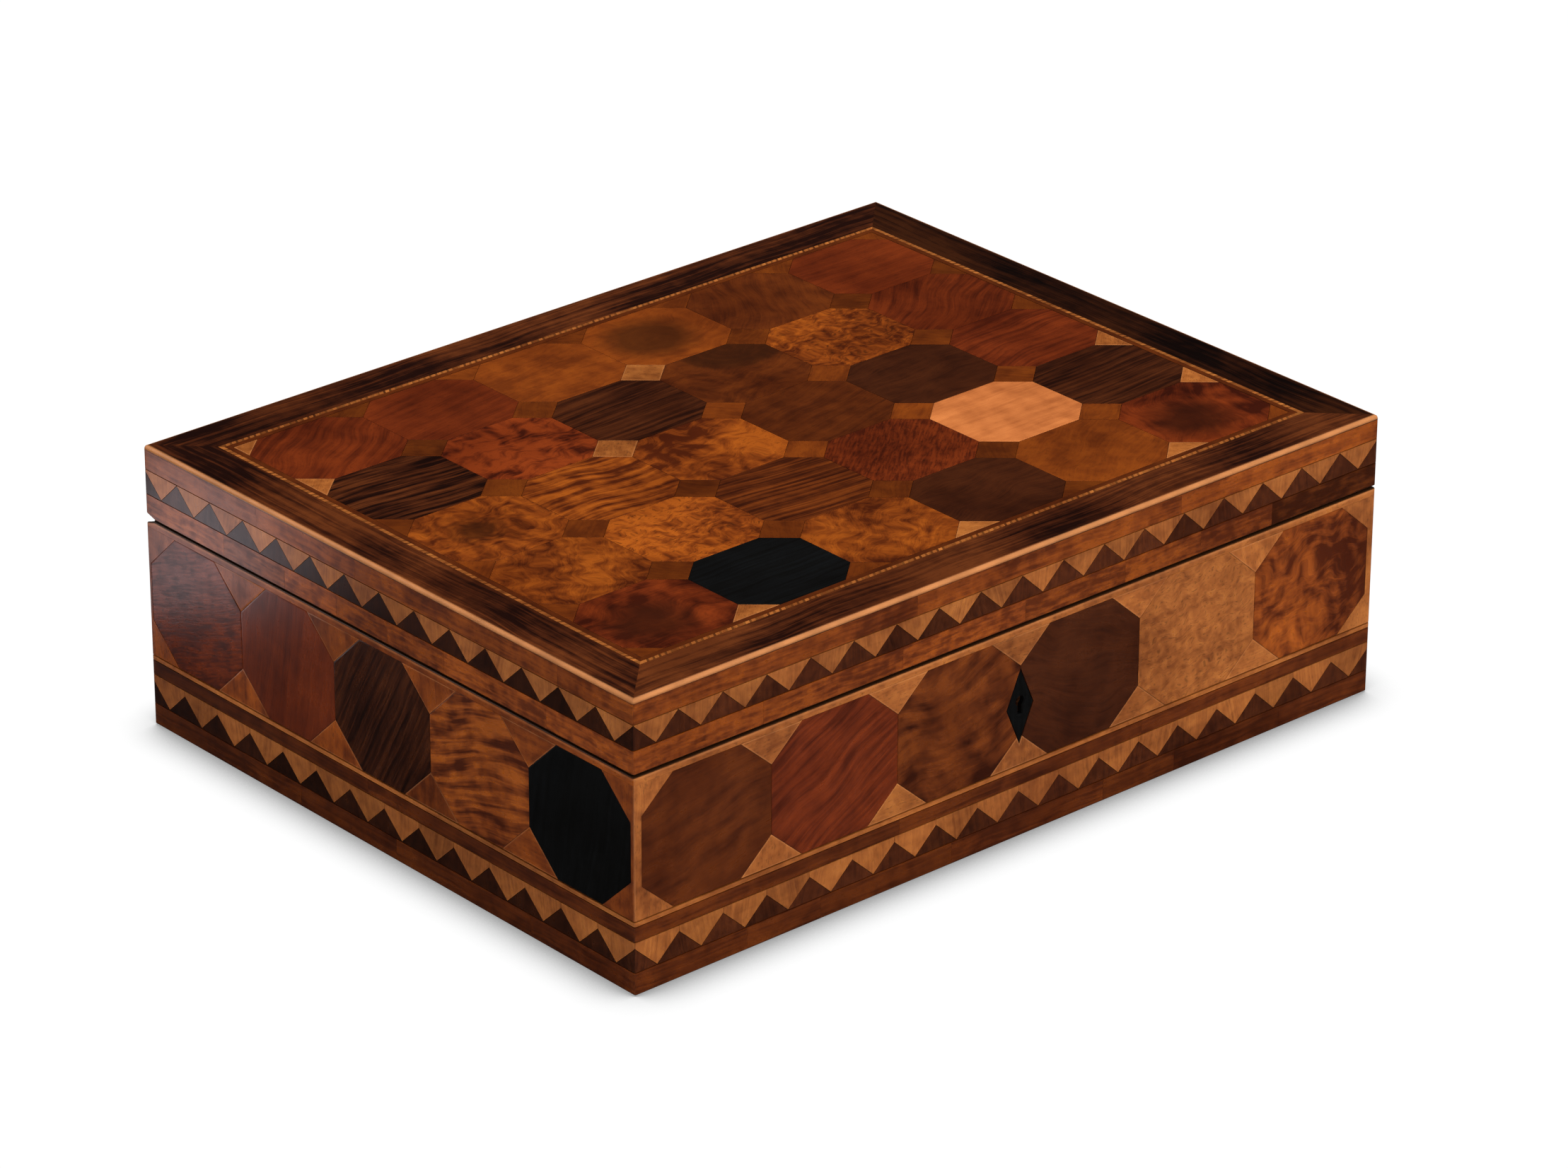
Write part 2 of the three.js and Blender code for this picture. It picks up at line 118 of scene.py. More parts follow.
# Spreads the values between low and high to the whole range 0 to 1
def spread(tree, value, low, high):
    return addNode(tree, "MapRange", {"Value": value, "From Min": low, "From Max": high}).outputs[0]


def newMaterial(name):
    material = bpy.data.materials.new(name)
    material.use_nodes = True
    return material, material.node_tree, material.node_tree.nodes["Principled BSDF"]


# Noise that is stretched to a size along and across the grain, spread to the whole range 0 to 1
def stretchedNoise(tree, vector, along, across, shift, detail=2, low=0.32, high=0.68):
    scale = addNode(tree, "CombineXYZ", {
        "X": calc(tree, "DIVIDE", 1, along),
        "Y": calc(tree, "DIVIDE", 1, across),
        "Z": 1,
    })
    moved = tree.nodes.new("ShaderNodeVectorMath")
    moved.operation = "MULTIPLY_ADD"
    tree.links.new(vector, moved.inputs[0])
    tree.links.new(scale.outputs[0], moved.inputs[1])
    moved.inputs[2].default_value = (shift, -shift, shift)
    noise = addNode(tree, "TexNoise", {"Vector": moved.outputs[0], "Scale": 1, "Detail": detail})
    return spread(tree, noise.outputs[0], low, high)


def newGroup(name, inputs, outputs):
    group = bpy.data.node_groups.new(name, "ShaderNodeTree")
    for label, kind, value in inputs:
        socket = group.interface.new_socket(label, in_out="INPUT", socket_type="NodeSocket" + kind)
        socket.default_value = value
    for label, kind in outputs:
        group.interface.new_socket(label, in_out="OUTPUT", socket_type="NodeSocket" + kind)
    start = group.nodes.new("NodeGroupInput")
    end = group.nodes.new("NodeGroupOutput")
    return group, start.outputs, end.inputs


# Every veneer carries these on its points: grain (mm along and across the grain, and a seed),
# spot (place in the tile, -1 to 1), tone (how pale this slip of wood is) and edge (1 at an arris,
# where it pales as rubbed wood with a painted highlight, -1 in a seam, where it darkens as painted shade)

# Figure of a sawn veneer. Sizes are in mm.
def makeFigureGroup():
    group, given, out = newGroup("wood figure", [
        ("Grain", "Vector", (0, 0, 0)),
        ("Tone", "Float", 1),
        ("Deep", "Color", (0.05, 0.02, 0.01, 1)),
        ("Middle", "Color", (0.2, 0.08, 0.03, 1)),
        ("Bright", "Color", (0.4, 0.2, 0.08, 1)),
        ("Pore Color", "Color", (0.02, 0.01, 0.005, 1)),
        ("Streaks", "Float", 0.3),
        ("Streak Width", "Float", 3),
        ("Streak Length", "Float", 60),
        ("Lines", "Float", 0.2),
        ("Line Width", "Float", 0.5),
        ("Wave", "Float", 1),
        ("Wave Size", "Float", 20),
        ("Mottle", "Float", 0.2),
        ("Mottle Size", "Float", 6),
        ("Pores", "Float", 0.2),
        ("Pore Size", "Float", 0.8),
        ("Drift", "Float", 0.2),
        ("Lightness", "Float", 0.5),
    ], [("Color", "Color"), ("Figure", "Float"), ("Height", "Float")])
    grain = given["Grain"]
    size = given["Wave Size"]
    bend = stretchedNoise(group, grain, size, size, 31, detail=1)
    shift = calc(group, "MULTIPLY", calc(group, "SUBTRACT", bend, 0.5), given["Wave"])
    across = addNode(group, "CombineXYZ", {"X": 0, "Y": shift, "Z": 0})
    bent = addNode(group, "VectorMath", operation="ADD")
    group.links.new(grain, bent.inputs[0])
    group.links.new(across.outputs[0], bent.inputs[1])
    bent = bent.outputs[0]
    streak = stretchedNoise(
        group, bent, given["Streak Length"], given["Streak Width"], 3, detail=3)
    lineLength = calc(group, "MULTIPLY", given["Line Width"], 25)
    line = stretchedNoise(group, bent, lineLength, given["Line Width"], 7)
    mottle = stretchedNoise(
        group, bent, given["Mottle Size"], given["Mottle Size"], 11, detail=4)
    drift = stretchedNoise(group, grain, 60, 35, 23, detail=1)
    total = given["Lightness"]
    for part, strength in (
        (streak, given["Streaks"]),
        (line, given["Lines"]),
        (mottle, given["Mottle"]),
        (drift, given["Drift"]),
    ):
        centred = calc(group, "SUBTRACT", part, 0.5)
        total = calc(group, "MULTIPLY_ADD", centred, strength, total)
    lower = calc(group, "MULTIPLY", total, 2, clamp=True)
    upper = calc(group, "MULTIPLY_ADD", total, 2, -1, clamp=True)
    colour = mixColour(group, lower, given["Deep"], given["Middle"])
    colour = mixColour(group, upper, colour, given["Bright"])
    poreLength = calc(group, "MULTIPLY", given["Pore Size"], 2.5)
    pore = stretchedNoise(
        group, bent, poreLength, given["Pore Size"], 41, detail=1, low=0.58, high=0.7)
    poreShare = calc(group, "MULTIPLY", pore, given["Pores"])
    colour = mixColour(group, poreShare, colour, given["Pore Color"])
    toned = addNode(group, "VectorMath", operation="SCALE")
    group.links.new(colour, toned.inputs[0])
    group.links.new(given["Tone"], toned.inputs["Scale"])
    group.links.new(toned.outputs[0], out["Color"])
    group.links.new(total, out["Figure"])
    height = calc(group, "MULTIPLY_ADD", line, 0.5, calc(group, "MULTIPLY", poreShare, -1))
    group.links.new(height, out["Height"])
    return group


# A dark knot or heart, ringed or plain, at a place in the tile
def makeHeartGroup():
    group, given, out = newGroup("dark heart", [
        ("Centre", "Vector", (0, 0, 0)),
        ("Size", "Float", 0.4),
        ("Softness", "Float", 0.2),
        ("Raggedness", "Float", 0.2),
        ("Rings", "Float", 0),
    ], [("Mask", "Float")])
    spot = attribute(group, "spot").outputs["Vector"]
    away = addNode(group, "VectorMath", operation="DISTANCE")
    group.links.new(spot, away.inputs[0])
    group.links.new(given["Centre"], away.inputs[1])
    noise = addNode(group, "TexNoise", {"Vector": spot, "Scale": 2.6, "Detail": 3})
    ragged = calc(group, "SUBTRACT", noise.outputs[0], 0.5)
    distance = calc(group, "MULTIPLY_ADD", ragged, given["Raggedness"], away.outputs["Value"])
    inside = calc(group, "SUBTRACT", given["Size"], distance)
    mask = calc(group, "DIVIDE", inside, given["Softness"], clamp=True)
    ring = calc(group, "SINE", calc(group, "MULTIPLY", distance, 34))
    ringed = calc(group, "MULTIPLY_ADD", ring, given["Rings"], mask, clamp=True)
    kept = calc(group, "MULTIPLY", ringed, calc(group, "GREATER_THAN", inside, -0.25))
    group.links.new(kept, out["Mask"])
    return group


# Pale wood where an arris is rubbed, with a painted highlight on it
def makeArrisWearHighlightGroup():
    group, given, out = newGroup("rubbed arris", [
        ("Color", "Color", white),
        ("Arris Wear And Highlight Color", "Color", white),
        ("Amount", "Float", 0.5),
        ("Patchiness", "Float", 0.5),
        ("Painted Shade Color", "Color", (0.02, 0.008, 0.003, 1)),
    ], [("Color", "Color")])
    edge = attribute(group, "edge").outputs["Fac"]
    place = addNode(group, "TexCoord").outputs["Object"]
    noise = addNode(group, "TexNoise", {"Vector": place, "Scale": 90, "Detail": 4})
    patch = spread(group, noise.outputs[0], 0.35, 0.62)
    missing = calc(group, "MULTIPLY", calc(group, "SUBTRACT", 1, patch), given["Patchiness"])
    rubbedAndLit = calc(group, "MULTIPLY", edge, calc(group, "SUBTRACT", 1, missing))
    mask = calc(group, "MULTIPLY", rubbedAndLit, given["Amount"], clamp=True)
    colour = mixColour(group, mask, given["Color"], given["Arris Wear And Highlight Color"])
    # Where edge is below zero the wood darkens toward the shade colour: painted shade in the seam and along
    # lower edges
    paintedShade = calc(group, "MULTIPLY", edge, -1, clamp=True)
    colour = mixColour(group, paintedShade, colour, given["Painted Shade Color"])
    group.links.new(colour, out["Color"])
    return group


# Old polish: uneven gloss, faint rubbing marks and a surface that isn't quite flat
def makePolishGroup():
    group, given, out = newGroup("old polish", [
        ("Gloss", "Float", 0.4),
        ("Unevenness", "Float", 0.1),
        ("Figure", "Float", 0.5),
    ], [("Roughness", "Float"), ("Ripple", "Float")])
    place = addNode(group, "TexCoord").outputs["Object"]
    broad = addNode(group, "TexNoise", {"Vector": place, "Scale": 28, "Detail": 2}).outputs[0]
    fine = addNode(group, "TexNoise", {"Vector": place, "Scale": 420, "Detail": 3}).outputs[0]
    uneven = calc(group, "SUBTRACT", calc(group, "ADD", broad, calc(group, "MULTIPLY", fine, 0.5)), 0.75)
    rough = calc(group, "MULTIPLY_ADD", uneven, given["Unevenness"], given["Gloss"])
    darker = calc(group, "MULTIPLY", calc(group, "SUBTRACT", given["Figure"], 0.5), -0.06)
    group.links.new(calc(group, "ADD", rough, darker), out["Roughness"])
    group.links.new(broad, out["Ripple"])
    return group


# Smoky patina: cloudy darkening and old rubbing marks that run on from one slip to the next
def makePatinaGroup():
    group, given, out = newGroup("smoky patina", [
        ("Color", "Color", white),
        ("Smoke Color", "Color", white),
        ("Amount", "Float", 0.4),
        ("Cloud Scale", "Float", 32),
        ("Marks", "Float", 0.12),
    ], [("Color", "Color")])
    place = addNode(group, "TexCoord").outputs["Object"]
    clouds = addNode(group, "TexNoise", {"Vector": place, "Scale": given["Cloud Scale"], "Detail": 6})
    cloud = spread(group, clouds.outputs[0], 0.42, 0.68)
    long = addNode(group, "Mapping", {"Vector": place, "Scale": (70, 900, 600)})
    marks = addNode(group, "TexNoise", {"Vector": long.outputs[0], "Scale": 1, "Detail": 2})
    mark = spread(group, marks.outputs[0], 0.62, 0.74)
    smoke = calc(group, "MULTIPLY", cloud, given["Amount"])
    mask = calc(group, "MULTIPLY_ADD", mark, given["Marks"], smoke, clamp=True)
    group.links.new(mixColour(group, mask, given["Color"], given["Smoke Color"], "MULTIPLY"),
                    out["Color"])
    return group


figureGroup = makeFigureGroup()
patinaGroup = makePatinaGroup()
heartGroup = makeHeartGroup()
arrisWearHighlightGroup = makeArrisWearHighlightGroup()
polishGroup = makePolishGroup()

# Woods. Polished wood comes in a few colours here, as hue in degrees, saturation and value. A wood
# differs from the others of its colour by its figure, and by the contrast between its deep and
# bright figure. Every value that a wood leaves out is the plain one. Bare wood is the boards,
# rubbed wood with a painted highlight shows at the arrises, and smoke is the patina.
families = {
    "pale": (24, 0.7, 0.8),
    "golden": (26, 0.75, 0.65),
    "orange": (24, 0.9, 0.5),
    "red": (18, 0.9, 0.4),
    "brown": (22, 0.9, 0.35),
    "dark": (20, 0.85, 0.25),
    "black": (0, 0, 0.05),
    "bare": (24, 0.6, 0.5),
    "rubbedAndLit": (26, 0.6, 0.85),
    "smoke": (20, 0.4, 0.6),
}
plainWood = {
    "family": "brown",
    "contrast": 0.25,
    "figure": {},
    "gloss": 0.3,
    "arrisWearAndHighlight": 0.0,
    "patchiness": 0.5,
    "heart": None,
    "grainAxis": None,
    "smoke": 0.45,
}
# The numbers of a figure, in turn: how strong it is, and then its sizes in mm
figureSockets = {
    "streaks": ("Streaks", "Streak Width", "Streak Length"),
    "lines": ("Lines",),
    "mottle": ("Mottle", "Mottle Size"),
    "wave": ("Wave", "Wave Size"),
    "pores": ("Pores", "Pore Size"),
    "drift": ("Drift",),
    "lightness": ("Lightness",),
}
boardFigure = {"streaks": [0.7, 5, 120], "lines": [0.5], "pores": [0.5], "drift": [0.5]}
woods = {
    "paleGround": {
        "family": "golden", "contrast": 0.2, "arrisWearAndHighlight": 0.3, "figure": {"streaks": [0.3],
        "mottle": [0.6, 4], "pores": [0.4, 0.6], "drift": [0.5]},
    },
    # The left side's ground: darker and more orange than the pale ground, painted shade and warm light of
    # that side
    "shadedAmberGround": {
        "family": "orange", "arrisWearAndHighlight": 0.25, "figure": {"streaks": [0.5], "mottle": [0.8, 6],
        "pores": [0.4, 0.6], "drift": [0.7]},
    },
    "satinwood": {
        "family": "pale", "contrast": 0.15, "smoke": 0.2, "figure": {"streaks": [0.3],
        "mottle": [0.5, 7], "pores": [0.05], "drift": [0.4]},
    },
    "birdseyeMaple": {
        "family": "golden", "contrast": 0.2, "figure": {"mottle": [0.7, 3], "wave": [3, 8],
        "pores": [0.5, 0.6]},
    },
    "burrMaple": {
        "family": "orange", "contrast": 0.4, "figure": {"mottle": [0.8, 3], "wave": [5, 9],
        "pores": [0.6, 0.7], "drift": [0.7]},
    },
    "amboyna": {
        "family": "orange", "contrast": 0.4, "figure": {"streaks": [0.3], "mottle": [0.8, 5],
        "wave": [7, 14], "pores": [0.3], "drift": [0.9]},
    },
    "cherry": {
        "family": "orange", "contrast": 0.15, "figure": {"streaks": [0.4, 1.5, 20],
        "mottle": [0.9, 7], "wave": [4], "drift": [0.6]},
    },
    "yew": {
        "family": "orange", "contrast": 0.4, "figure": {"streaks": [1.1, 2.4, 24],
        "lines": [0.3], "mottle": [0.7, 7], "wave": [4, 30]},
    },
    "mahogany": {
        "family": "brown", "contrast": 0.2, "figure": {"streaks": [0.6, 3, 26], "lines": [0.3],
        "mottle": [0.7, 8], "wave": [5, 34]},
    },
    "stripedMahogany": {
        "family": "red", "figure": {"streaks": [0.8, 2, 32], "lines": [0.3], "mottle": [0.5, 9],
        "wave": [6, 40]},
    },
    "darkMahogany": {
        "family": "red", "figure": {"streaks": [0.4, 3, 40], "lines": [0.3], "mottle": [0.4, 9],
        "drift": [0.5]},
    },
    "walnut": {
        "family": "dark", "contrast": 0.2, "figure": {"streaks": [0.5, 3, 22], "lines": [0.4],
        "mottle": [0.6, 9], "wave": [6, 26]},
    },
    "olivewood": {
        "family": "brown", "contrast": 0.4, "figure": {"streaks": [0.7, 4, 24],
        "mottle": [0.9, 9], "wave": [8, 30]},
    },
    "zebrano": {
        "family": "dark", "contrast": 0.6, "figure": {"streaks": [1.3, 1.8, 40], "lines": [0.5],
        "wave": [2, 40], "lightness": [0.42]},
    },
    "stripedWalnut": {
        "family": "brown", "contrast": 0.4, "figure": {"streaks": [1.0, 1.5, 50], "lines": [0.3],
        "mottle": [0.3], "wave": [1.5, 40]},
    },
    "coromandel": {
        "family": "dark", "contrast": 0.4, "figure": {"streaks": [1.0, 1.5, 38], "lines": [0.5],
        "wave": [1.5, 40]},
    },
    "kingwood": {
        "family": "red", "figure": {"streaks": [1.0, 0.9, 7], "mottle": [0.7, 5],
        "pores": [0.5]},
    },
    "thuya": {
        "family": "red", "contrast": 0.4, "figure": {"streaks": [0.7, 2, 12], "mottle": [1.3, 6],
        "wave": [7, 14], "drift": [0.6]},
    },
    "ebony": {
        "family": "black", "contrast": 0.4, "gloss": 0.36, "figure": {"streaks": [0.6, 1.5],
        "lines": [0.4]},
    },
    "knottedBurr": {
        "family": "orange", "contrast": 0.4, "figure": {"mottle": [0.8, 4], "wave": [8, 12],
        "pores": [0.3]}, "heart": {"Centre": (-0.15, 0.05, 0), "Size": 0.5, "Softness": 0.35,
        "Rings": 0.12},
    },
    "ovalHeart": {
        "family": "orange", "contrast": 0.2, "figure": {"mottle": [0.5], "wave": [8]},
        "heart": {"Centre": (-0.12, 0.02, 0), "Size": 0.9, "Softness": 0.45, "Raggedness": 0.3,
        "Rings": 0.03},
    },
    "bandedOlivewood": {
        "family": "brown", "figure": {"mottle": [0.8, 6], "wave": [8]},
        "heart": {"Centre": (0.5, 0.9, 0), "Size": 0.95, "Softness": 0.25, "Raggedness": 0.3,
        "Rings": 0.1},
    },
    "patchyMahogany": {
        "family": "red", "contrast": 0.4, "figure": {"mottle": [1.0, 9], "wave": [8],
        "drift": [0.6]}, "heart": {"Centre": (-0.2, -0.15, 0), "Size": 0.85, "Softness": 0.55,
        "Raggedness": 0.5},
    },
    "cherryBand": {
        "family": "orange", "figure": {"streaks": [0.7, 1.4, 30], "mottle": [0.7, 5],
        "pores": [0.3], "drift": [0.7]},
    },
    "mottledBand": {
        "family": "orange", "figure": {"streaks": [0.9, 1.3, 11], "mottle": [0.8, 4],
        "pores": [0.3, 0.7], "drift": [0.7]},
    },
    "brownBand": {
        "family": "brown", "figure": {"streaks": [0.8, 1.2, 40], "mottle": [0.6], "pores": [0.2],
        "drift": [0.6]},
    },
    "boxwood": {
        "family": "golden", "contrast": 0.2, "figure": {"streaks": [0.4, 1], "mottle": [0.5, 4],
        "drift": [0.3]},
    },
    "darkTooth": {
        "family": "dark", "figure": {"streaks": [0.5, 1], "mottle": [0.6, 3]},
    },
    "rosewood": {
        "family": "dark", "contrast": 0.6, "gloss": 0.28, "arrisWearAndHighlight": 0.85,
        "patchiness": 0.25, "figure": {"streaks": [0.8, 1.8, 90], "lines": [0.4],
        "mottle": [0.3], "wave": [3, 60], "drift": [1.0]},
    },
    "boardAlong": {
        "family": "bare", "gloss": 0.6, "grainAxis": 0, "figure": boardFigure,
    },
    "boardAcross": {
        "family": "bare", "gloss": 0.6, "grainAxis": 90, "figure": boardFigure,
    },
    "rope": {
        "family": "golden", "contrast": 0.2, "figure": {"mottle": [0.8, 9], "drift": [1.2]},
    },
}
# Deeper figure is redder and brighter figure yellower: the share of the contrast for each of
# red, green and blue
warmth = {"deep": (-1, -1.3, -1.6), "middle": (0, 0, 0), "bright": (0.7, 1, 1.3)}
# Pores and hearts keep this much of the colour of their wood, and a heart covers this much of it
poreShade = 0.5
heartShade = 0.55
heartShare = 0.85
# How deep the grain and the ripple of the polish are, in mm, and how strong they look
surface = {"grainDepth": 0.02, "grainStrength": 0.6, "rippleDepth": 0.4, "rippleStrength": 0.5,
           "specular": 0.18}


def familyColour(name, shade=1):
    hue, saturation, value = families[name]
    return [255 * level for level in colorsys.hsv_to_rgb(hue / 360, saturation, value * shade)]


def figureColour(wood, key):
    return screen(*[level * (1 + wood["contrast"] * share)
                    for level, share in zip(familyColour(wood["family"]), warmth[key])])


# One material for each wood: figure, heart if it has one, rubbed arris, and polish
def makeWood(name):
    wood = {**plainWood, **woods[name]}
    material, tree, shader = newMaterial(name)
    figure = addNode(tree, "Group", node_tree=figureGroup)
    if wood["grainAxis"] is not None:
        place = addNode(tree, "TexCoord").outputs["Object"]
        turned = addNode(tree, "Mapping", {"Vector": place})
        turned.inputs["Scale"].default_value = (1 / mm, 1 / mm, 1 / mm)
        turned.inputs["Rotation"].default_value = (0, 0, math.radians(wood["grainAxis"]))
        tree.links.new(turned.outputs[0], figure.inputs["Grain"])
    else:
        tree.links.new(attribute(tree, "grain").outputs["Vector"], figure.inputs["Grain"])
        tree.links.new(attribute(tree, "tone").outputs["Fac"], figure.inputs["Tone"])
    for socket in ("Deep", "Middle", "Bright"):
        figure.inputs[socket].default_value = figureColour(wood, socket.lower())
    figure.inputs["Pore Color"].default_value = screen(*familyColour(wood["family"], poreShade))
    for kind, values in wood["figure"].items():
        for socket, value in zip(figureSockets[kind], values):
            figure.inputs[socket].default_value = value
    colour = figure.outputs["Color"]
    if wood["heart"]:
        heart = addNode(tree, "Group", node_tree=heartGroup)
        for socket, value in wood["heart"].items():
            heart.inputs[socket].default_value = value
        share = calc(tree, "MULTIPLY", heart.outputs["Mask"], heartShare)
        heartColour = screen(*familyColour(wood["family"], heartShade))
        colour = mixColour(tree, share, colour, heartColour)
    patina = addNode(tree, "Group", node_tree=patinaGroup, feeds={
        "Color": colour,
        "Smoke Color": screen(*familyColour("smoke")),
        "Amount": wood["smoke"],
    })
    arris = addNode(tree, "Group", node_tree=arrisWearHighlightGroup, feeds={
        "Color": patina.outputs["Color"],
        # The pale arris colour is rubbed wood with a painted highlight on it
        "Arris Wear And Highlight Color": screen(*familyColour("rubbedAndLit")),
        "Amount": wood["arrisWearAndHighlight"],
        "Patchiness": wood["patchiness"],
    })
    polish = addNode(tree, "Group", node_tree=polishGroup, feeds={
        "Figure": figure.outputs["Figure"],
        "Gloss": wood["gloss"],
    })
    grainBump = addNode(tree, "Bump", {
        "Height": figure.outputs["Height"],
        "Strength": surface["grainStrength"],
        "Distance": surface["grainDepth"] * mm,
    })
    ripple = addNode(tree, "Bump", {
        "Height": polish.outputs["Ripple"],
        "Normal": grainBump.outputs[0],
        "Strength": surface["rippleStrength"],
        "Distance": surface["rippleDepth"] * mm,
    })
    tree.links.new(arris.outputs["Color"], shader.inputs["Base Color"])
    tree.links.new(polish.outputs["Roughness"], shader.inputs["Roughness"])
    tree.links.new(ripple.outputs[0], shader.inputs["Normal"])
    shader.inputs["Specular IOR Level"].default_value = surface["specular"]
    return material


materials = {name: makeWood(name) for name in woods}
print("woods made:", len(materials))

# The four sides, seen square on: u runs to the right, v up and w out of the box, in mm
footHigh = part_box("base_foot_band")[1]
halfLength = footHigh.x / mm
halfDepth = footHigh.y / mm
corner = {"radius": 0.8, "steps": 3, "reach": 3.0}
sides = {
    "front": {"turn": 0, "half": halfLength, "out": halfDepth},
    "right": {"turn": 90, "half": halfDepth, "out": halfLength},
    "back": {"turn": 180, "half": halfLength, "out": halfDepth},
    "left": {"turn": 270, "half": halfDepth, "out": halfLength},
}
veneer = 1.6


def spotOnSide(side, along, up, out):
    turned = Matrix.Rotation(math.radians(side["turn"]), 3, "Z")
    return turned @ Vector((along, -side["out"] - out, up)) * mm


# A place function for one side. Near a corner the face follows a small arc up to the mitre.
def onSide(name):
    side = sides[name]

    def place(u, v, w):
        radius = corner["radius"]
        reach = corner["reach"]
        along = abs(u)
        out = w
        if along > side["half"] - radius and w > -radius:
            angle = math.radians(45) * (along - side["half"] + radius) / radius
            along = side["half"] - radius + (radius + w) * math.sin(angle)
            out = (radius + w) * math.cos(angle) - radius
        elif along > side["half"] - reach:
            past = along - side["half"] + reach
            along = side["half"] - reach + past * (reach + w) / reach
        return spotOnSide(side, math.copysign(along, u), v, out)

    return place


lidTop = cadHigh.z / mm


def onTop(u, v, w):
    return Vector((u, v, lidTop + w)) * mm


# Slips of veneer. A piece collects closed slips and becomes one mesh.

def newPiece(seed):
    return {
        "points": [], "faces": [], "edge": [], "tone": [], "grain": [], "spot": [],
        "draw": random.Random(seed),
    }


# Adds one closed slip. faces are rings of (u, v, w, edge), anticlockwise from outside.
def addSlip(piece, faces, place, tone=1, angle=0, centre=None, reach=(20, 20), thick=veneer):
    numbers = {}
    flat = []
    outer = []
    for face in faces:
        ring = []
        for point in face:
            key = tuple(round(value, 4) for value in point[:3])
            if key not in numbers:
                numbers[key] = len(flat)
                flat.append(point)
            if not ring or ring[-1] != numbers[key]:
                ring.append(numbers[key])
        if ring[0] == ring[-1]:
            ring.pop()
        if len(ring) > 2:
            outer.append(ring)
    start = len(piece["points"])
    count = len(flat)
    if centre is None:
        centre = [sum(point[axis] for point in flat) / count for axis in (0, 1)]
    seed = piece["draw"].uniform(0, 400)
    cosine, sine = math.cos(math.radians(angle)), math.sin(math.radians(angle))
    for layer in (0, 1):
        for u, v, w, edge in flat:
            depth = w - thick * layer
            piece["points"].append(place(u, v, depth))
            du, dv = u - centre[0], v - centre[1]
            piece["grain"].append((du * cosine + dv * sine, dv * cosine - du * sine, seed))
            piece["spot"].append((du / reach[0], dv / reach[1], 0))
            piece["edge"].append(edge)
            piece["tone"].append(tone)
    steps = {(ring[i - 1], ring[i]) for ring in outer for i in range(len(ring))}
    for ring in outer:
        piece["faces"].append([start + index for index in ring])
        piece["faces"].append([start + count + index for index in reversed(ring)])
    for first, second in sorted(steps):
        if (second, first) not in steps:
            wall = (second, first, first + count, second + count)
            piece["faces"].append([start + index for index in wall])


creaseAngle = 35


def finishPiece(name, piece, body, material, slot, replaced=()):
    mesh = bpy.data.meshes.new(name)
    mesh.from_pydata(piece["points"], [], piece["faces"])
    for key, kind in (("edge", "FLOAT"), ("tone", "FLOAT")):
        mesh.attributes.new(key, kind, "POINT").data.foreach_set("value", piece[key])
    for key in ("grain", "spot"):
        values = [value for point in piece[key] for value in point]
        mesh.attributes.new(key, "FLOAT_VECTOR", "POINT").data.foreach_set("vector", values)
    mesh.shade_smooth()
    mesh.set_sharp_from_angle(angle=math.radians(creaseAngle))
    mesh.materials.append(material)
    made = bpy.data.objects.new(name, mesh)
    bpy.context.scene.collection.objects.link(made)
    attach(made, body)
    for node in replaced:
        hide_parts(node)
    return made


# Outlines

def inset(outline, distance):
    moved = []
    for index, point in enumerate(outline):
        here = Vector(point[:2])
        before = (here - Vector(outline[index - 1][:2])).normalized()
        after = (Vector(outline[(index + 1) % len(outline)][:2]) - here).normalized()
        normals = Vector((-before.y - after.y, before.x + after.x))
        moved.append(here + normals * distance / (1 + before.dot(after)))
    return moved


def octagonOutline(u0, u1, v0, v1, share):
    along = (u1 - u0) * share
    up = (v1 - v0) * share
    return [
        (u0 + along, v0), (u1 - along, v0), (u1, v0 + up), (u1, v1 - up),
        (u1 - along, v1), (u0 + along, v1), (u0, v1 - up), (u0, v0 + up),
    ]


tileEdge = {"gap": 0.06, "drop": 0.05, "bevel": 0.12, "rim": 0.5}


# A flat slip with a fine bevel and a rim that can be paler than its middle, as rubbed wood with a painted
# highlight
def tileFaces(outline):
    gap = tileEdge["gap"]
    rings = []
    for distance, w, edge in (
        (gap, -tileEdge["drop"], 1),
        (gap + tileEdge["bevel"], 0, 1),
        (gap + tileEdge["rim"], 0, 0),
    ):
        rings.append([(*point, w, edge) for point in inset(outline, distance)])
    faces = [rings[-1]]
    for outer, inner in zip(rings, rings[1:]):
        for index in range(len(outer)):
            faces.append([outer[index - 1], outer[index], inner[index], inner[index - 1]])
    return faces


# Places along a side where a strip needs a station: its ends, its kinks and the corner arcs
def stations(side, start, end, kinks=()):
    places = {start, end, *kinks}
    for step in range(corner["steps"] + 1):
        arc = side["half"] - corner["radius"] * (1 - step / corner["steps"])
        places |= {value for value in (-arc, arc) if start < value < end}
    return sorted(places)


# A strip between rows. Each row is (height or a function of u, w, edge).
def stripFaces(side, start, end, rows, kinks=()):
    grid = []
    places = stations(side, start, end, kinks)
    for height, w, edge in rows:
        line = []
        for u in places:
            v = height(u) if callable(height) else height
            line.append((u, v, w, edge))
        grid.append(line)
    faces = []
    for low, high in zip(grid, grid[1:]):
        for index in range(1, len(places)):
            faces.append([low[index - 1], low[index], high[index], high[index - 1]])
    return faces


def heights(node):
    low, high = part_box(node)
    return low.z / mm, high.z / mm


print("sides:", halfLength, "by", halfDepth, "mm to each side of the middle")

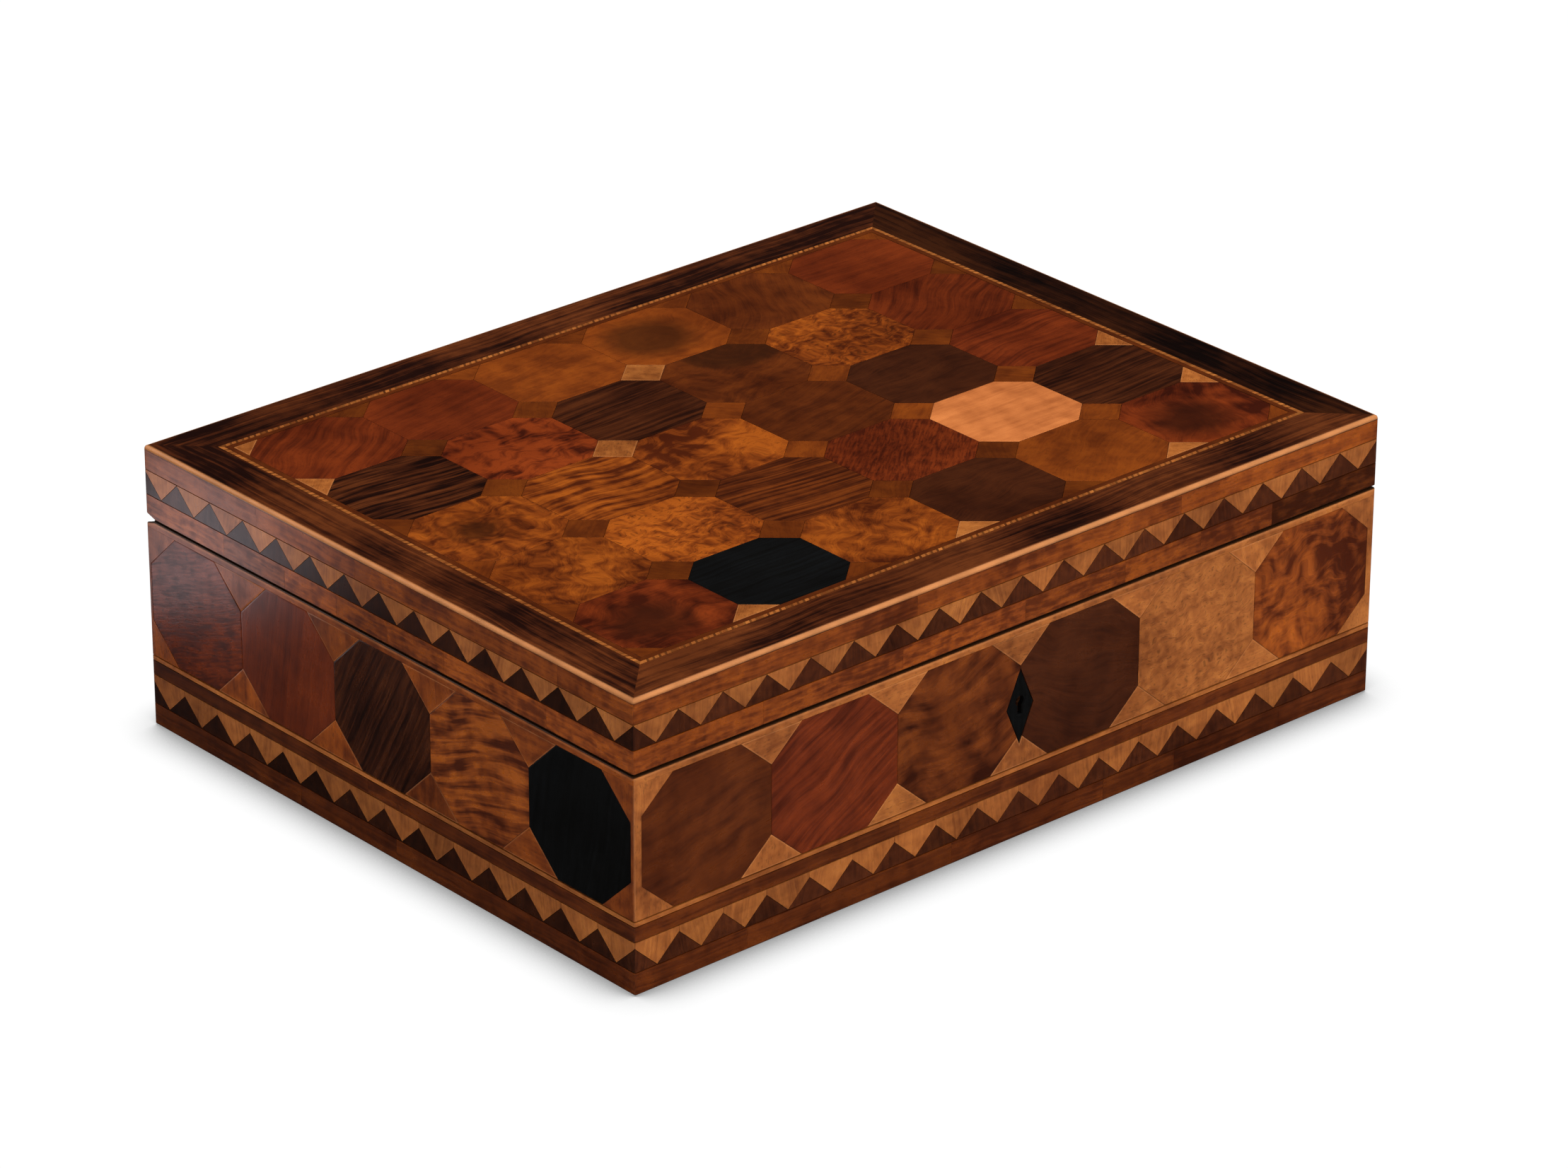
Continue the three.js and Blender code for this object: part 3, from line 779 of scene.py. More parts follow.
# Courses that run round the box. lengths says how long one slip may be, and darkFrom where the
# last slip of a side begins if it is a dark one
courseGap = 0.05
relief = {"depth": 4.5, "height": 1.25, "hingeRoom": 2.65, "hingeSlack": 0.35}
hingeSpans = []
for hinge in ("left", "right"):
    low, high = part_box(f"hinge_{hinge}_lower_leaf")
    hingeSpans.append(sorted((-low.x / mm, -high.x / mm)))
hingeAxis = sum(heights("hinge_left_pin")) / 2
courses = {
    "base_foot_band": {
        "body": "base", "wood": "brownBand", "slot": "foot_band_veneer", "lengths": (30, 80),
    },
    "base_dark_band": {
        "body": "base", "wood": "brownBand", "slot": "brown_band_veneer", "lengths": (60, 150),
    },
    "base_light_line": {
        "body": "base", "wood": "boxwood", "slot": "light_veneer", "lengths": (80, 160),
    },
    "lid_lower_band": {
        "body": "lid", "wood": "mottledBand", "slot": "brown_band_veneer", "lengths": (20, 60),
        "darkFrom": {"front": 110},
    },
    "lid_upper_band": {
        "body": "lid", "wood": "cherryBand", "slot": "brown_band_veneer", "lengths": (50, 120),
    },
}
# How pale a slip is beside others of its wood: drawn from a range, or dark where a slip stands out
slipTones = (0.85, 1.15)
darkTone = 0.4


# Where the slips of a course end on one side, with their tones
def slipsOf(course, name, piece):
    draw = piece["draw"]
    half = sides[name]["half"]
    limit = course.get("darkFrom", {}).get(name, half)
    slips = []
    end = -half
    while end < limit:
        end += draw.uniform(*course["lengths"])
        if limit - end < course["lengths"][0] / 2:
            end = limit
        slips.append((end, draw.uniform(*slipTones)))
    if limit < half:
        slips.append((half, darkTone))
    return slips


# How far a seam edge is cut back at a place along a side: the relief along the back
def seamDip(name, u):
    half = sides[name]["half"]
    toBack = {"front": half, "back": 0, "left": half + u, "right": half - u}[name]
    return relief["height"] * max(0, 1 - toBack / relief["depth"])


# Cuts the slips of the back at the hinges: (end, tone, whether a hinge stands there)
def roundHinges(name, slips):
    if name != "back":
        return [(end, tone, False) for end, tone in slips]
    slack = relief["hingeSlack"]
    marks = [mark for span in hingeSpans for mark in (span[0] - slack, span[1] + slack)]
    ends = sorted({end for end, tone in slips} | set(marks))
    result = []
    start = -sides[name]["half"]
    for end in ends:
        tone = [tone for last, tone in slips if last >= end][0]
        middle = (start + end) / 2
        hinged = any(low < middle < high for low, high in hingeSpans)
        result.append((end, tone, hinged))
        start = end
    return result


def makeCourse(node, low, high, rowsFor, atSeam=False):
    course = courses[node]
    piece = newPiece(node)
    for name, side in sides.items():
        start = -side["half"]
        slips = slipsOf(course, name, piece)
        for end, tone, hinged in roundHinges(name if atSeam else None, slips):
            left = start + (courseGap / 2 if start > -side["half"] else 0)
            right = end - (courseGap / 2 if end < side["half"] else 0)

            def dip(u):
                return hingeAxis + relief["hingeRoom"] - low if hinged else seamDip(name, u)

            rows = rowsFor(low, high, dip if atSeam else lambda u: 0)
            kinks = [mark for mark in seamKinks(side) if left < mark < right]
            faces = stripFaces(side, left, right, rows, kinks)
            addSlip(piece, faces, onSide(name), tone=tone)
            start = end
    finishPiece(node, piece, course["body"], materials[course["wood"]], course["slot"], [node])


def seamKinks(side):
    return [way * (side["half"] - relief["depth"]) for way in (-1, 1)]


def plainRows(low, high, dip):
    return [(low, 0, 0), (high, 0, 0)]


# The lower edge of the foot and of the lid is softened a little and darkened along it as painted shade:
# (height above it, w, edge)
softEdge = [(0, -0.25, -1), (0.25, 0, -0.7), (0.5, 0, 0.2), (1.1, 0, 0)]


def softLowRows(low, high, dip):
    rows = [(lambda u, rise=rise: low + rise + dip(u), w, edge) for rise, w, edge in softEdge]
    return rows + [(high, 0, 0)]


lidBottom = heights("lid_lower_band")[0]
topVeneerLow = lidTop - veneer
sideTop = topVeneerLow - courseGap
footTop = heights("base_foot_band")[1]
darkLow, darkHigh = heights("base_dark_band")
lineLow, lineHigh = heights("base_light_line")
lidToothLow = heights("lid_lower_band")[1]
upperLow = heights("lid_upper_band")[0]
makeCourse("base_foot_band", heights("base_foot_band")[0], footTop, softLowRows)
makeCourse("base_dark_band", darkLow, darkHigh, plainRows)
makeCourse("base_light_line", lineLow, lineHigh + 0.3, plainRows)
makeCourse("lid_lower_band", lidBottom, lidToothLow, softLowRows, atSeam=True)
makeCourse("lid_upper_band", upperLow, sideTop, plainRows)

# Dogtooth banding. Dark teeth stand point up, centred on every corner; light teeth hang
# between them, and on the base a light line runs on above them. The dark teeth of the left side
# are darker.
dogtooth = {
    "teeth": {"front": 18, "right": 14, "back": 18, "left": 14},
    "gap": 0.05, "point": 0.98, "line": 1.85,
    "darkTones": {"front": (1.0, 1.6), "right": (1.0, 1.6), "back": (1.0, 1.6), "left": (0.4, 0.8)},
    "lightTones": (0.75, 1),
}


def makeTeeth(body, low, high, top):
    dark = newPiece(body + " dark teeth")
    light = newPiece(body + " light teeth")
    gap = dogtooth["gap"]
    for name, side in sides.items():
        count = dogtooth["teeth"][name]
        pitch = 2 * side["half"] / count

        def toothHeight(u, tip):
            return (high - low) * max(0, 1 - abs(u - tip) / (pitch / 2 - gap)) * dogtooth["point"]

        for tooth in range(count + 1):
            middle = tooth * pitch - side["half"]
            start = max(middle - pitch / 2 + gap, -side["half"])
            end = min(middle + pitch / 2 - gap, side["half"])

            def rise(u):
                return low + toothHeight(u, middle)

            faces = stripFaces(side, start, end, [(low, 0, 0), (rise, 0, 0)], [middle])
            tone = dark["draw"].uniform(*dogtooth["darkTones"][name])
            lean = 90 + dark["draw"].uniform(-15, 15)
            addSlip(dark, faces, onSide(name), tone=tone, angle=lean)
            if tooth == count:
                continue
            valley = middle + pitch / 2

            def drop(u):
                return high - toothHeight(u, valley)

            edges = (middle + gap, middle + pitch - gap)
            faces = stripFaces(side, *edges, [(drop, 0, 0), (high, 0, 0)], [valley])
            if top > high:
                faces += stripFaces(side, *edges, [(high, 0, 0), (top, 0, 0)], [valley])
            tone = light["draw"].uniform(*dogtooth["lightTones"])
            addSlip(light, faces, onSide(name), tone=tone, angle=lean + 180)
    darkNode = f"{body}_dogtooth_dark"
    lightNode = f"{body}_dogtooth_light"
    finishPiece(darkNode, dark, body, materials["darkTooth"], "dark_tooth_veneer", [darkNode])
    finishPiece(lightNode, light, body, materials["boxwood"], "light_veneer", [lightNode])


baseToothLow = heights("base_dogtooth_dark")[0]
baseLightTop = heights("base_dogtooth_light")[1]
baseToothTop = baseLightTop - dogtooth["line"]
makeTeeth("base", baseToothLow, baseToothTop, baseLightTop)
makeTeeth("lid", heights("lid_dogtooth_dark")[0], heights("lid_dogtooth_light")[1], 0)
print("courses and teeth made")

# Octagons of the base, left to right on each side as you face it: wood and grain angle
baseOctagons = {
    "front": [
        ("mahogany", 8), ("stripedMahogany", 30), ("olivewood", 12),
        ("walnut", -20), ("birdseyeMaple", 10), ("amboyna", 5),
    ],
    "right": [
        ("mahogany", 90), ("yew", 80), ("walnut", 10),
        ("burrMaple", 0), ("darkMahogany", 95),
    ],
    "back": [
        ("darkMahogany", 5), ("amboyna", 90), ("mahogany", 0),
        ("stripedMahogany", 85), ("walnut", 5), ("yew", 10),
    ],
    "left": [
        ("kingwood", 20), ("darkMahogany", 80), ("coromandel", 60),
        ("yew", 15), ("ebony", 80),
    ],
}
octagonTones = (0.85, 1.15)  # how pale an octagon is beside others of its wood
octagonRows = {
    "front": {"node": "base_octagons_front_left", "count": 6, "share": 0.24},
    "right": {"node": "base_octagons_right", "count": 5, "share": 0.28},
    "back": {"node": "base_octagons_back", "count": 6, "share": 0.24},
    "left": {"node": "base_octagons_left", "count": 5, "share": 0.28},
}
lozenge = {"width": 11.5, "height": 26.4, "centre": 46.3, "gap": 0.05}
# The rim above the octagons: how its arris is cut, and how low it stays where a hinge is let in. Its arris
# shows a pale band, rubbed wood with a painted highlight, and darkens into the seam as painted shade
rim = {"arris": 0.35, "edgeBand": 0.9, "fade": 0.4, "cut": 0.1, "drop": 0.15, "atHinge": 0.4,
       "squeeze": 0.1}
cornerTones = (0.95, 1.1)


def rowPitch(name):
    low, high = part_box(octagonRows[name]["node"])
    half = max(abs(low.x), abs(high.x)) if name in ("front", "back") else high.y
    return round(2 * half / mm / octagonRows[name]["count"], 2)


# Where the lozenge cuts the slanted lower edges of the two middle octagons of the front
def lozengeMeetsEdge(octagonLow, along, up):
    slope = up / along
    half, tall = lozenge["width"] / 2, lozenge["height"] / 2
    foot = lozenge["centre"] - tall
    u = (octagonLow + up - foot) / (slope + tall / half)
    return u, foot + u * tall / half


# The outline of an octagon beside the lozenge: its last flat edge gives way to the lozenge
def besideLozenge(outline, way, meeting):
    u, v = meeting
    half, tall = lozenge["width"] / 2, lozenge["height"] / 2
    notch = [(way * u, v), (way * half, lozenge["centre"]), (0, lozenge["centre"] + tall)]
    kept = [point for point in outline if abs(point[0]) > tiny]
    top = [point for point in outline if abs(point[0]) < tiny and point[1] > lozenge["centre"]]
    if way < 0:
        return kept[:2] + notch + top + kept[2:]
    return kept + top + notch[::-1]


def makeBaseOctagons(name):
    row = octagonRows[name]
    side = sides[name]
    place = onSide(name)
    low, high = heights(row["node"])
    pitch = rowPitch(name)
    start = -row["count"] * pitch / 2
    along, up = pitch * row["share"], (high - low) * row["share"]
    meeting = lozengeMeetsEdge(low, along, up)
    ground = newPiece(name + " ground")
    nodes = [f"base_octagons_{name}"] * 2
    if name == "front":
        nodes = ["base_octagons_front_left", "base_octagons_front_right"]
    for index, (wood, angle) in enumerate(baseOctagons[name]):
        u0 = start + index * pitch
        outline = octagonOutline(u0, u0 + pitch, low, high, row["share"])
        if name == "front" and index in (2, 3):
            outline = besideLozenge(outline, -1 if index == 2 else 1, meeting)
        piece = newPiece(f"{name} octagon {index}")
        middle = (u0 + pitch / 2, (low + high) / 2)
        addSlip(piece, tileFaces(outline), place, tone=piece["draw"].uniform(*octagonTones),
                angle=angle, centre=middle, reach=(pitch / 2, (high - low) / 2))
        node = nodes[0] if index < row["count"] / 2 else nodes[1]
        finishPiece(f"base_octagon_{name}_{index + 1}", piece, "base", materials[wood],
                    "octagon_veneer", [node])
    draw = ground["draw"]
    for index in range(1, row["count"]):
        u = start + index * pitch
        below = [(u - along, low), (u + along, low), (u, low + up)]
        above = [(u + along, high), (u - along, high), (u, high - up)]
        if name == "front" and index == row["count"] / 2:
            foot = (0, lozenge["centre"] - lozenge["height"] / 2)
            below = below[:2] + [meeting, foot, (-meeting[0], meeting[1])]
        for outline in (below, above):
            addSlip(ground, tileFaces(outline), place, tone=draw.uniform(*octagonTones),
                    angle=draw.choice((0, 90)))
    for way in (-1, 1):
        flat = way * -start
        corners = [(flat, low), (flat, low + up), (flat, high - up), (flat, high)]
        limits = sorted((flat, way * side["half"]))
        faces = []
        places = stations(side, *limits)
        for left, right in zip(places, places[1:]):
            column = [(left, low), (right, low), (right, high), (left, high)]
            if flat == right:
                column[2:2] = corners[1:3]
            if flat == left:
                column += corners[2:0:-1]
            # Near a box corner the ground pales: rubbed wood with a painted highlight
            edges = [min(1, max(0, abs(u) - side["half"] + corner["radius"])) for u, v in column]
            faces.append([(u, v, 0, edge) for (u, v), edge in zip(column, edges)])
        for tip, root, end in (((flat - way * along, low), *corners[:2]),
                               ((flat - way * along, high), *corners[:1:-1])):
            ring = [(*tip, 0, 0), (*root, 0, 0), (*end, 0, 0)]
            clockwise = (root[0] - tip[0]) * (end[1] - tip[1]) - (root[1] - tip[1]) * (end[0] - tip[0])
            faces.append(ring if clockwise > 0 else ring[::-1])
        addSlip(ground, faces, place, tone=draw.uniform(*cornerTones), angle=90)
    rimLow = high + courseGap
    rimHigh = heights(f"base_octagon_ground_{name}")[1]
    start = -side["half"]
    for end, tone, hinged in roundHinges(name, [(side["half"], 1.0)]):
        def top(below):
            if hinged:
                return rimLow + rim["atHinge"] - below * rim["squeeze"]
            return lambda u: rimHigh - seamDip(name, u) - below

        band, arris, cut = rim["edgeBand"], rim["arris"], rim["cut"]
        rows = [(rimLow, 0, 0), (top(band + rim["fade"]), 0, 0), (top(band), 0, 1),
                (top(arris + cut), 0, 1), (top(arris), 0, -0.6), (top(cut), -rim["drop"], -1),
                (top(0), -arris, -1)]
        kinks = [mark for mark in seamKinks(side) if start < mark < end]
        addSlip(ground, stripFaces(side, start, end, rows, kinks), place, tone=tone)
        start = end
    groundNode = f"base_octagon_ground_{name}"
    # The left side gets a darker, more orange ground as painted shade and warm light of that side
    groundWood = "shadedAmberGround" if name == "left" else "paleGround"
    finishPiece(groundNode, ground, "base", materials[groundWood], "ground_veneer",
                [groundNode])


for sideName in sides:
    makeBaseOctagons(sideName)
print("base octagons made")

# Lid top, as distances in from the edge of the lid, in mm
# The steps of the arris arc are pale as rubbed wood with a painted highlight
border = {"width": 17.0, "arris": 1.3, "fade": 0.35, "steps": 4, "rubbedAndLit": (0.5, 1, 1, 0.9, 0.1),
          "tone": 1.3, "dark": "right"}


def makeBorder(name):
    side = sides[name]
    half = side["half"]
    radius = corner["radius"]
    low = topVeneerLow
    arris = border["arris"]
    profile = [(0, low, 0), (0, low + 0.1, 0)]
    for step in range(border["steps"] + 1):
        angle = math.radians(90) * step / border["steps"]
        profile.append((arris * (1 - math.cos(angle)), lidTop - arris * (1 - math.sin(angle)),
                        border["rubbedAndLit"][step]))
    profile += [(arris + border["fade"], lidTop, 0), (border["width"], lidTop, 0), (border["width"], low, 0)]
    angles = [math.radians(45) * step / corner["steps"] for step in range(corner["steps"] + 1)]
    ends = [(-1, angle) for angle in reversed(angles)] + [(1, angle) for angle in angles]
    piece = newPiece(name + " border")
    numbers = {}
    grid = []
    for insetBy, height, edge in profile:
        line = []
        for way, angle in ends:
            if insetBy < radius:
                along = half - radius + (radius - insetBy) * math.sin(angle)
                out = (radius - insetBy) * math.cos(angle) - radius
            else:
                along, out = half - insetBy, -insetBy
            key = tuple(round(value, 4) for value in (way * along, height, out))
            if key not in numbers:
                numbers[key] = len(piece["points"])
                piece["points"].append(spotOnSide(side, way * along, height, out))
                piece["grain"].append((way * along, insetBy, 50 * side["turn"]))
                piece["spot"].append((0, 0, 0))
                piece["edge"].append(edge)
                piece["tone"].append(darkTone if name == border["dark"] else border["tone"])
            line.append(numbers[key])
        grid.append(line)
    rings = []
    for index in range(len(grid)):
        lower, upper = grid[index - 1], grid[index]
        for step in range(1, len(ends)):
            rings.append([lower[step - 1], lower[step], upper[step], upper[step - 1]])
    rings += [[line[0] for line in grid], [line[-1] for line in reversed(grid)]]
    for ring in rings:
        clean = [point for index, point in enumerate(ring) if point != ring[index - 1]]
        if len(clean) > 2:
            piece["faces"].append(clean)
    node = f"lid_border_{name}"
    finishPiece(node, piece, "lid", materials["rosewood"], "rosewood_veneer", [node])


for sideName in sides:
    makeBorder(sideName)

# Rope stringing: slanted slips, light and dark in turn
margin = {"gap": 0.08, "inner": 20.5, "tones": (0.9, 1.2)}
rope = {"outer": 17.1, "inner": 18.5, "light": 1.5, "dark": 0.9, "slant": 0.7,
        "lightTones": (0.75, 1.05), "darkTones": (0.35, 0.6)}


def onTopFrom(name):
    side = sides[name]

    def place(u, v, w):
        return spotOnSide(side, u, lidTop + w, -v)

    return place


def makeStringing():
    piece = newPiece("stringing")
    outer, inner = rope["outer"], rope["inner"]
    for name, side in sides.items():
        limits = [side["half"] - outer, side["half"] - inner]
        count = round(2 * limits[1] / (rope["light"] + rope["dark"]))
        pitch = (2 * limits[1] - rope["slant"]) / count
        lightShare = rope["light"] / (rope["light"] + rope["dark"])
        marks = []
        for index in range(count):
            start = -limits[1] + index * pitch
            marks.append((start, True))
            marks.append((start + pitch * lightShare, False))
        for index, (start, isLight) in enumerate(marks):
            isLast = index == len(marks) - 1
            end = marks[index + 1][0] if not isLast else limits[1]
            ring = [
                (start if index else -limits[0], outer), (end if not isLast else limits[0], outer),
                (end + (0 if isLast else rope["slant"]), inner),
                (start + (rope["slant"] if index else 0), inner),
            ]
            tone = piece["draw"].uniform(*rope["lightTones" if isLight else "darkTones"])
            addSlip(piece, [[(u, v, 0, 0) for u, v in ring]], onTopFrom(name), tone=tone,
                    angle=60)
    finishPiece("lid_rope_stringing", piece, "lid", materials["rope"], "stringing_wood",
                ["lid_rope_stringing"])


def makeMargin():
    piece = newPiece("margin")
    outer, inner = rope["inner"] + margin["gap"], margin["inner"]
    for name, side in sides.items():
        far, near = side["half"] - outer, side["half"] - inner
        ring = [(-far, outer, 0, 0), (far, outer, 0, 0), (near, inner, 0, 0), (-near, inner, 0, 0)]
        addSlip(piece, [ring], onTopFrom(name), tone=piece["draw"].uniform(*margin["tones"]))
    finishPiece("lid_inner_margin", piece, "lid", materials["mahogany"],
                "brown_band_veneer", ["lid_inner_margin"])


makeStringing()
makeMargin()

# Octagons of the lid, back row first, left to right: wood and grain angle
field = {"inset": 20.6, "share": 0.21}
lidOctagons = [
    [("stripedMahogany", 35), ("darkMahogany", 10), ("cherry", 5),
     ("ovalHeart", 0), ("mahogany", 60), ("darkMahogany", 0)],
    [("zebrano", -5), ("thuya", 0), ("coromandel", 2),
     ("bandedOlivewood", 20), ("burrMaple", 0), ("stripedMahogany", 35)],
    [("knottedBurr", 0), ("yew", -4), ("amboyna", 10),
     ("mahogany", 15), ("walnut", 0), ("stripedMahogany", 5)],
    [("amboyna", 60), ("burrMaple", 0), ("stripedWalnut", -6),
     ("kingwood", 40), ("satinwood", 0), ("coromandel", 3)],
    [("patchyMahogany", 0), ("ebony", 0), ("amboyna", 40),
     ("walnut", 4), ("cherry", 30), ("patchyMahogany", 70)],
]
# The diamonds of the ground: a share of them is pale
diamonds = {"paleShare": 0.3, "paleTones": (0.75, 1), "tones": (0.5, 0.85)}


def makeField():
    grounds = {wood: newPiece(wood + " of the field") for wood in ("paleGround", "cherry")}
    draw = random.Random("diamonds")
    rows, columns = len(lidOctagons), len(lidOctagons[0])
    left, back = field["inset"] - halfLength, halfDepth - field["inset"]
    wide, deep = -2 * left / columns, 2 * back / rows
    along, up = wide * field["share"], deep * field["share"]
    for row, line in enumerate(lidOctagons):
        for column, (wood, angle) in enumerate(line):
            u0, v1 = left + column * wide, back - row * deep
            outline = octagonOutline(u0, u0 + wide, v1 - deep, v1, field["share"])
            piece = newPiece(f"lid octagon {row} {column}")
            tone = piece["draw"].uniform(*octagonTones)
            addSlip(piece, tileFaces(outline), onTop, tone=tone, angle=angle,
                    centre=(u0 + wide / 2, v1 - deep / 2), reach=(wide / 2, deep / 2))
            name = f"lid_octagon_{row + 1}_{column + 1}"
            finishPiece(name, piece, "lid", materials[wood], "field_octagon_veneer",
                        [f"lid_octagons_row_{row + 1}"])
    for row in range(rows + 1):
        for column in range(columns + 1):
            u, v = left + column * wide, back - row * deep
            diamond = [(u - along, v), (u, v - up), (u + along, v), (u, v + up)]
            inside = []
            for point in diamond:
                if abs(point[0]) < -left + tiny and abs(point[1]) < back + tiny:
                    inside.append(point)
            if len(inside) == 2:
                inside.append((u, v))
            isPale = draw.random() < diamonds["paleShare"]
            ground = grounds["paleGround" if isPale else "cherry"]
            tone = ground["draw"].uniform(*diamonds["paleTones" if isPale else "tones"])
            addSlip(ground, tileFaces(ordered(inside)), onTop, tone=tone,
                    angle=ground["draw"].choice((45, -45)))
    for wood, name in (("paleGround", "lid_field_ground_pale"), ("cherry", "lid_field_ground_deep")):
        finishPiece(name, grounds[wood], "lid", materials[wood], "ground_veneer",
                    ["lid_field_ground"])


# The same points, anticlockwise
def ordered(points):
    centre = sum((Vector(point) for point in points), Vector((0, 0))) / len(points)
    return sorted(points, key=lambda point: math.atan2(point[1] - centre.y, point[0] - centre.x))


makeField()
print("lid top made")

# Boards under the veneers stay as they are in the frame
for body in ("base", "lid"):
    part = "board" if body == "base" else "rail"
    for name in sides:
        wood = "boardAlong" if name in ("front", "back") else "boardAcross"
        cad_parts[f"{body}_{name}_{part}"].data.materials[0] = materials[wood]
for node in ("base_bottom_board", "lid_top_board"):
    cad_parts[node].data.materials[0] = materials["boardAlong"]


# Aged brass: browned in patches, rubbed brighter at random, with fine file marks
brass = {
    "bright": (235, 160, 80), "dull": (190, 115, 55), "brown": (110, 60, 30),
    "gloss": 0.46, "patchSize": 0.004, "marks": 0.3, "stain": 0.6, "metallic": 0.75,
}


def makeBrass():
    material, tree, shader = newMaterial("aged brass")
    place = addNode(tree, "TexCoord").outputs["Object"]
    patches = addNode(tree, "TexNoise", {
        "Vector": place, "Scale": 1 / brass["patchSize"], "Detail": 5}).outputs[0]
    fine = addNode(tree, "TexNoise", {"Vector": place, "Scale": 1800, "Detail": 3}).outputs[0]
    patch = spread(tree, patches, 0.38, 0.62)
    colour = mixColour(tree, patch, screen(*brass["dull"]), screen(*brass["bright"]))
    stain = calc(tree, "MULTIPLY", spread(tree, fine, 0.5, 0.7), brass["stain"])
    colour = mixColour(tree, stain, colour, screen(*brass["brown"]))
    rough = calc(tree, "MULTIPLY_ADD", fine, brass["marks"], brass["gloss"] - 0.1)
    marks = addNode(tree, "Bump", {"Height": fine, "Strength": 0.4, "Distance": 0.03 * mm})
    shader.inputs["Metallic"].default_value = brass["metallic"]
    tree.links.new(colour, shader.inputs["Base Color"])
    tree.links.new(rough, shader.inputs["Roughness"])
    tree.links.new(marks.outputs[0], shader.inputs["Normal"])
    return material


agedBrass = makeBrass()
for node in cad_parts:
    if node.startswith(("hinge_", "lock")):
        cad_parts[node].data.materials[0] = agedBrass

# Slotted screws, sunk flush, with how far in from the edges of each plate they stand, in mm
screw = {"radius": 1.5, "sides": 20, "slot": 0.4, "slotDepth": 0.3, "proud": 0.08, "sunk": 0.5,
         "apart": 13, "inLeaf": 2.9, "leafThick": 0.4, "inLock": 1.6, "downLock": 8, "inStrike": 4}


# Two half discs with the slot between them, over a thin disc that is the slot's floor
def addScrew(piece, place, turn):
    steps = screw["sides"] // 2
    half = screw["slot"] / 2
    lean = math.asin(half / screw["radius"])
    for way in (0, 180):
        ring = []
        for step in range(steps + 1):
            angle = lean + (math.pi - 2 * lean) * step / steps + math.radians(way + turn)
            ring.append((screw["radius"] * math.cos(angle), screw["radius"] * math.sin(angle),
                         screw["proud"], 0))
        addSlip(piece, [ring], place, thick=screw["slotDepth"])
    disc = [(screw["radius"] * math.cos(2 * math.pi * step / screw["sides"]),
             screw["radius"] * math.sin(2 * math.pi * step / screw["sides"]),
             screw["proud"] - screw["slotDepth"], 0) for step in range(screw["sides"])]
    addSlip(piece, [disc], place, thick=screw["sunk"])


# A place function on a plate: facing is the way the plate looks, across the direction of u
def onPlate(centre, facing, across):
    out = Vector(facing)
    first = Vector(across)
    second = out.cross(first)

    def place(u, v, w):
        return (Vector(centre) + first * u + second * v + out * w) * mm

    return place


def makeScrews(name, body, spots, facing, across):
    piece = newPiece(name)
    for spot in spots:
        addScrew(piece, onPlate(spot, facing, across), piece["draw"].uniform(0, 180))
    finishPiece(name, piece, body, agedBrass, "brass")


def makeHardwareScrews():
    for hinge in ("left", "right"):
        for level, body, facing in (("lower", "base", 1), ("upper", "lid", -1)):
            low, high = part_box(f"hinge_{hinge}_{level}_leaf")
            plate = hingeAxis - facing * screw["leafThick"]
            y = low.y / mm + screw["inLeaf"]
            middle = (low.x + high.x) / 2 / mm
            spots = [(middle + step * screw["apart"], y, plate) for step in (-1, 0, 1)]
            makeScrews(f"hinge_{hinge}_{level}_screws", body, spots, (0, 0, facing), (1, 0, 0))
    low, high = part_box("lock")
    inner = high.y / mm
    across, down = screw["inLock"], screw["downLock"]
    spots = [(x, inner, z) for x in (low.x / mm + across, high.x / mm - across)
             for z in (low.z / mm + down, high.z / mm - down)]
    makeScrews("lock_screws", "base", spots, (0, 1, 0), (1, 0, 0))
    low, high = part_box("lock_strike")
    y = (low.y + high.y) / 2 / mm
    across = screw["inStrike"]
    spots = [(x, y, lidBottomPlane) for x in (low.x / mm + across, high.x / mm - across)]
    makeScrews("lock_strike_screws", "lid", spots, (0, 0, -1), (1, 0, 0))


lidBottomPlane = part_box("lid_front_rail")[0].z / mm
makeHardwareScrews()

# Escutcheon: a lozenge of ebony with softened edges and a keyhole
keyhole = {"radius": 1.7, "slot": 0.8, "drop": 2.8, "steps": 14, "bevel": 0.3, "edge": 0.3}


def keyholeOutline(grow):
    radius = keyhole["radius"] + grow
    half = keyhole["slot"] + grow
    top = lozenge["centre"] + keyhole["radius"]
    foot = lozenge["centre"] - keyhole["drop"] - grow
    start = math.asin(half / radius)
    points = [(-half, foot), (half, foot)]
    for step in range(keyhole["steps"] + 1):
        angle = start + (2 * math.pi - 2 * start) * step / keyhole["steps"] - math.pi / 2
        points.append((radius * math.cos(angle), top + radius * math.sin(angle)))
    return points


